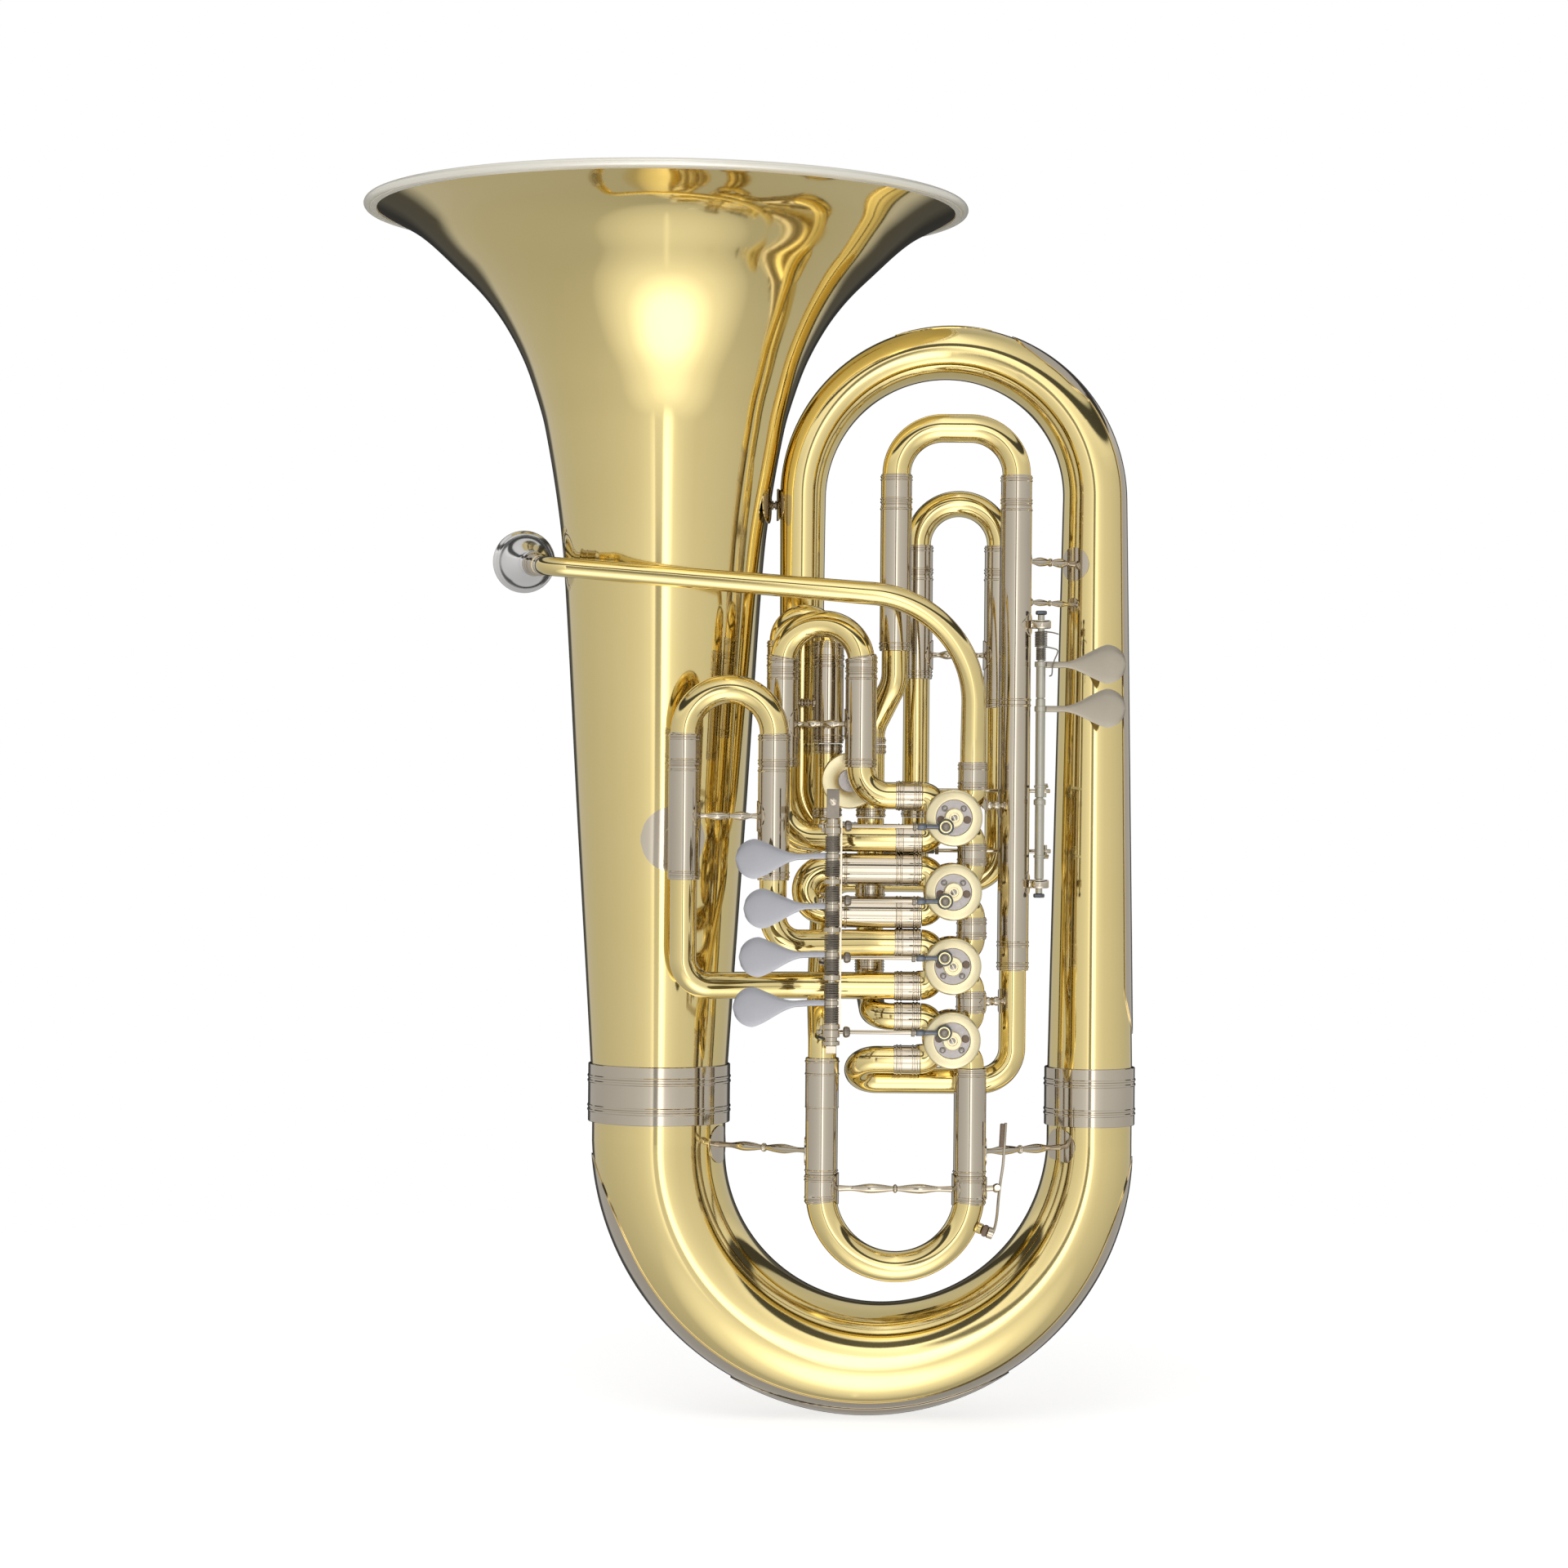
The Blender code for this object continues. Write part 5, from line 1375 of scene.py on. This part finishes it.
def math_node(tree, operation, first, second):
    node = tree.nodes.new("ShaderNodeMath")
    node.operation = operation
    for socket, value in zip(node.inputs, (first, second)):
        if isinstance(value, (int, float)):
            socket.default_value = value
        else:
            tree.links.new(value, socket)
    return node.outputs["Value"]


def to_share(tree, value):
    """A value between -1 and 1 moved to between 0 and 1, as a ramp reads it."""
    return math_node(tree, "ADD", math_node(tree, "MULTIPLY", value, 0.5), 0.5)


def studio():
    """A white sweep whose brightness follows the bearing and the height.

    It has a dark gap just left of the lens, a bright strip just right of it, a dark band high up all round,
    dark flags behind and a bright panel low in front. The camera itself sees plain white.
    """
    world = bpy.data.worlds.new("studio")
    bpy.context.scene.world = world
    world.use_nodes = True
    tree = world.node_tree
    background = tree.nodes["Background"]
    place = tree.nodes.new("ShaderNodeTexCoord")
    split = tree.nodes.new("ShaderNodeSeparateXYZ")
    tree.links.new(place.outputs["Generated"], split.inputs["Vector"])
    x, y, z = (split.outputs[axis] for axis in "XYZ")
    bearing = math_node(tree, "ARCTAN2", x, math_node(tree, "MULTIPLY", y, -1.0))
    share = math_node(tree, "ADD", math_node(tree, "DIVIDE", bearing, 2 * math.pi), 0.5)
    panels = (
        (-180, 0.55), (-140, 0.56), (-100, 0.6), (-66, 0.67), (-38, 0.76), (-25, 0.83), (-13, 0.96),
        (-7, 1.12), (0, 1.3), (2, 1.4), (8, 1.25), (14, 1.02), (22, 0.88), (34, 0.78), (60, 0.71),
        (100, 0.6), (126, 0.55), (180, 0.55),
    )
    around = ramp(tree, share, [(0.5 + angle / 360, value) for angle, value in panels], "panels")
    rise = to_share(tree, z)
    sectors = (
        (
            "lens gap", -0.8, ((-180, 0), (-8.2, 0), (-6.6, 1), (-0.9, 1), (0.6, 0), (180, 0)),
            [(0, 0), (0.26, 0), (0.31, 1), (0.64, 1), (0.69, 0), (1, 0)],
        ),
        (
            "back flags", -0.85, ((-180, 1), (-151, 1), (-145, 0), (145, 0), (151, 1), (180, 1)),
            [(0, 0), (0.26, 0), (0.31, 1), (0.70, 1), (0.75, 0), (1, 0)],
        ),
        (
            "strip light", 0.8,
            ((-180, 0), (-14, 0), (-8, 0.35), (0.4, 0.5), (1.6, 1), (6.5, 1), (11, 0), (180, 0)),
            [(0, 0), (0.29, 0), (0.37, 1), (0.52, 1), (0.56, 0), (1, 0)],
        ),
    )
    open_share = 1.0
    for name, weight, bearings, levels in sectors:
        sector = ramp(tree, share, [(0.5 + angle / 360, value) for angle, value in bearings], name)
        band = ramp(tree, rise, levels, f"{name} height")
        change = math_node(tree, "MULTIPLY", math_node(tree, "MULTIPLY", sector, band), weight)
        open_share = math_node(tree, "MULTIPLY", math_node(tree, "ADD", change, 1.0), open_share)
    heights = [
        (0, 0.8), (0.2, 0.86), (0.4, 0.95), (0.5, 1), (0.62, 1.05), (0.685, 1.3), (0.70, 1.2), (0.714, 0.1),
        (0.795, 0.1), (0.815, 1.0), (0.9, 1.05), (1, 0.9),
    ]
    by_height = ramp(tree, rise, heights, "heights")
    walls = math_node(tree, "MULTIPLY", math_node(tree, "MULTIPLY", around, open_share), by_height)
    nearness = tree.nodes.new("ShaderNodeVectorMath")
    nearness.operation = "DOT_PRODUCT"
    tree.links.new(place.outputs["Generated"], nearness.inputs[0])
    low_angle = math.radians(-50)
    side_angle = math.radians(6)
    nearness.inputs[1].default_value = (
        math.sin(side_angle) * math.cos(low_angle), -math.cos(side_angle) * math.cos(low_angle),
        math.sin(low_angle),
    )
    lean = to_share(tree, nearness.outputs["Value"])
    glow = [(0, 0), (0.80, 0), (0.86, 0.6), (0.91, 0.85), (0.95, 1.1), (0.975, 1.55), (0.99, 2.1), (1, 2.2)]
    low_panel = ramp(tree, lean, glow, "low panel")
    lit = math_node(tree, "MAXIMUM", walls, low_panel)
    behind = to_share(tree, y)
    flags = ramp(tree, behind, [(0, 1), (0.965, 1), (0.985, 0.4), (1, 0.4)], "flags")
    shade = tree.nodes.new("ShaderNodeMix")
    shade.data_type = "RGBA"
    shade.blend_type = "MULTIPLY"
    shade.inputs["Factor"].default_value = 1
    tree.links.new(lit, shade.inputs["A"])
    tree.links.new(flags, shade.inputs["B"])
    seen = tree.nodes.new("ShaderNodeLightPath")
    final = tree.nodes.new("ShaderNodeMix")
    final.data_type = "RGBA"
    final.inputs["B"].default_value = (1, 1, 1, 1)
    tree.links.new(seen.outputs["Is Camera Ray"], final.inputs["Factor"])
    tree.links.new(shade.outputs["Result"], final.inputs["A"])
    tree.links.new(final.outputs["Result"], background.inputs["Color"])
    background.inputs["Strength"].default_value = 1


def floor():
    """A pale round floor under the foot plate, which glows a little so that it meets the white behind."""
    material = bpy.data.materials.new("pale_floor")
    material.use_nodes = True
    inputs = material.node_tree.nodes["Principled BSDF"].inputs
    inputs["Base Color"].default_value = (FLOOR_GREY, FLOOR_GREY, FLOOR_GREY, 1)
    inputs["Roughness"].default_value = 0.9
    inputs["Specular IOR Level"].default_value = 0
    inputs["Emission Color"].default_value = (1, 1, 1, 1)
    inputs["Emission Strength"].default_value = FLOOR_GLOW
    points = circle(Vector((0, 0, FLOOR_Z)), X_AXIS, Y_AXIS, FLOOR_RADIUS, FLOOR_SIDES)
    mesh = bpy.data.meshes.new("floor")
    mesh.from_pydata([tuple(point * MM) for point in points], [], [tuple(range(FLOOR_SIDES))])
    mesh.materials.append(material)
    item = bpy.data.objects.new("floor", mesh)
    item.visible_glossy = False
    bpy.context.scene.collection.objects.link(item)


def lamp():
    """One large soft panel overhead, for the gentle shading of the satin parts and the floor."""
    data = bpy.data.lights.new("overhead_panel", "AREA")
    data.shape = "RECTANGLE"
    data.size, data.size_y = LAMP_SIZE
    data.energy = LAMP_POWER
    item = bpy.data.objects.new("overhead_panel", data)
    item.location = LAMP_PLACE
    item.rotation_euler = LAMP_HEADING.to_track_quat("-Z", "Y").to_euler()
    item.visible_camera = False
    item.visible_glossy = False
    bpy.context.scene.collection.objects.link(item)


def camera():
    data = bpy.data.cameras.new("camera")
    data.sensor_width = CAMERA_SENSOR
    data.lens = CAMERA_LENS
    item = bpy.data.objects.new("camera", data)
    level_view = Matrix.Rotation(math.radians(90), 4, "X")
    item.matrix_world = Matrix.Translation(CAMERA_PLACE) @ level_view @ Matrix.Rotation(CAMERA_ROLL, 4, "Z")
    bpy.context.scene.collection.objects.link(item)
    bpy.context.scene.camera = item


def build():
    bell()
    collar("bell_collar", "bell_ferrule", -LIMB_X, 51.8)
    collar("branch_collar", "branch_ferrule", LIMB_X, 32.6)
    bottom_bow()
    main_branch()
    leadpipe()
    valve_block()
    casing_5()
    casing_6()
    pins = [
        valve_set(number, at_front(VALVE_X, z), HALF_DEPTH, 6.7, -1, turn, 9.4)
        for number, (z, turn) in enumerate(zip(VALVE_Z, (225, 225, 135, 135)), 1)
    ]
    pin_5 = valve_set(5, VALVE_5, HALF_DEPTH_5, 2.6, 1, 315, 6)
    pin_6 = valve_set(6, VALVE_6, HALF_DEPTH, 3.7, -1, 45, 6.5)
    paddle_rail()
    finger_paddles(pins)
    thumb_paddles(pin_5, pin_6)
    valve_1_loop()
    valve_2_loop()
    valve_3_loop()
    valve_4_loop()
    valve_5_loop()
    valve_6_loop()
    main_slide_group()
    bell_stay()
    stays()


bpy.context.scene.view_settings.view_transform = "Standard"
camera()
studio()
lamp()
floor()
build()
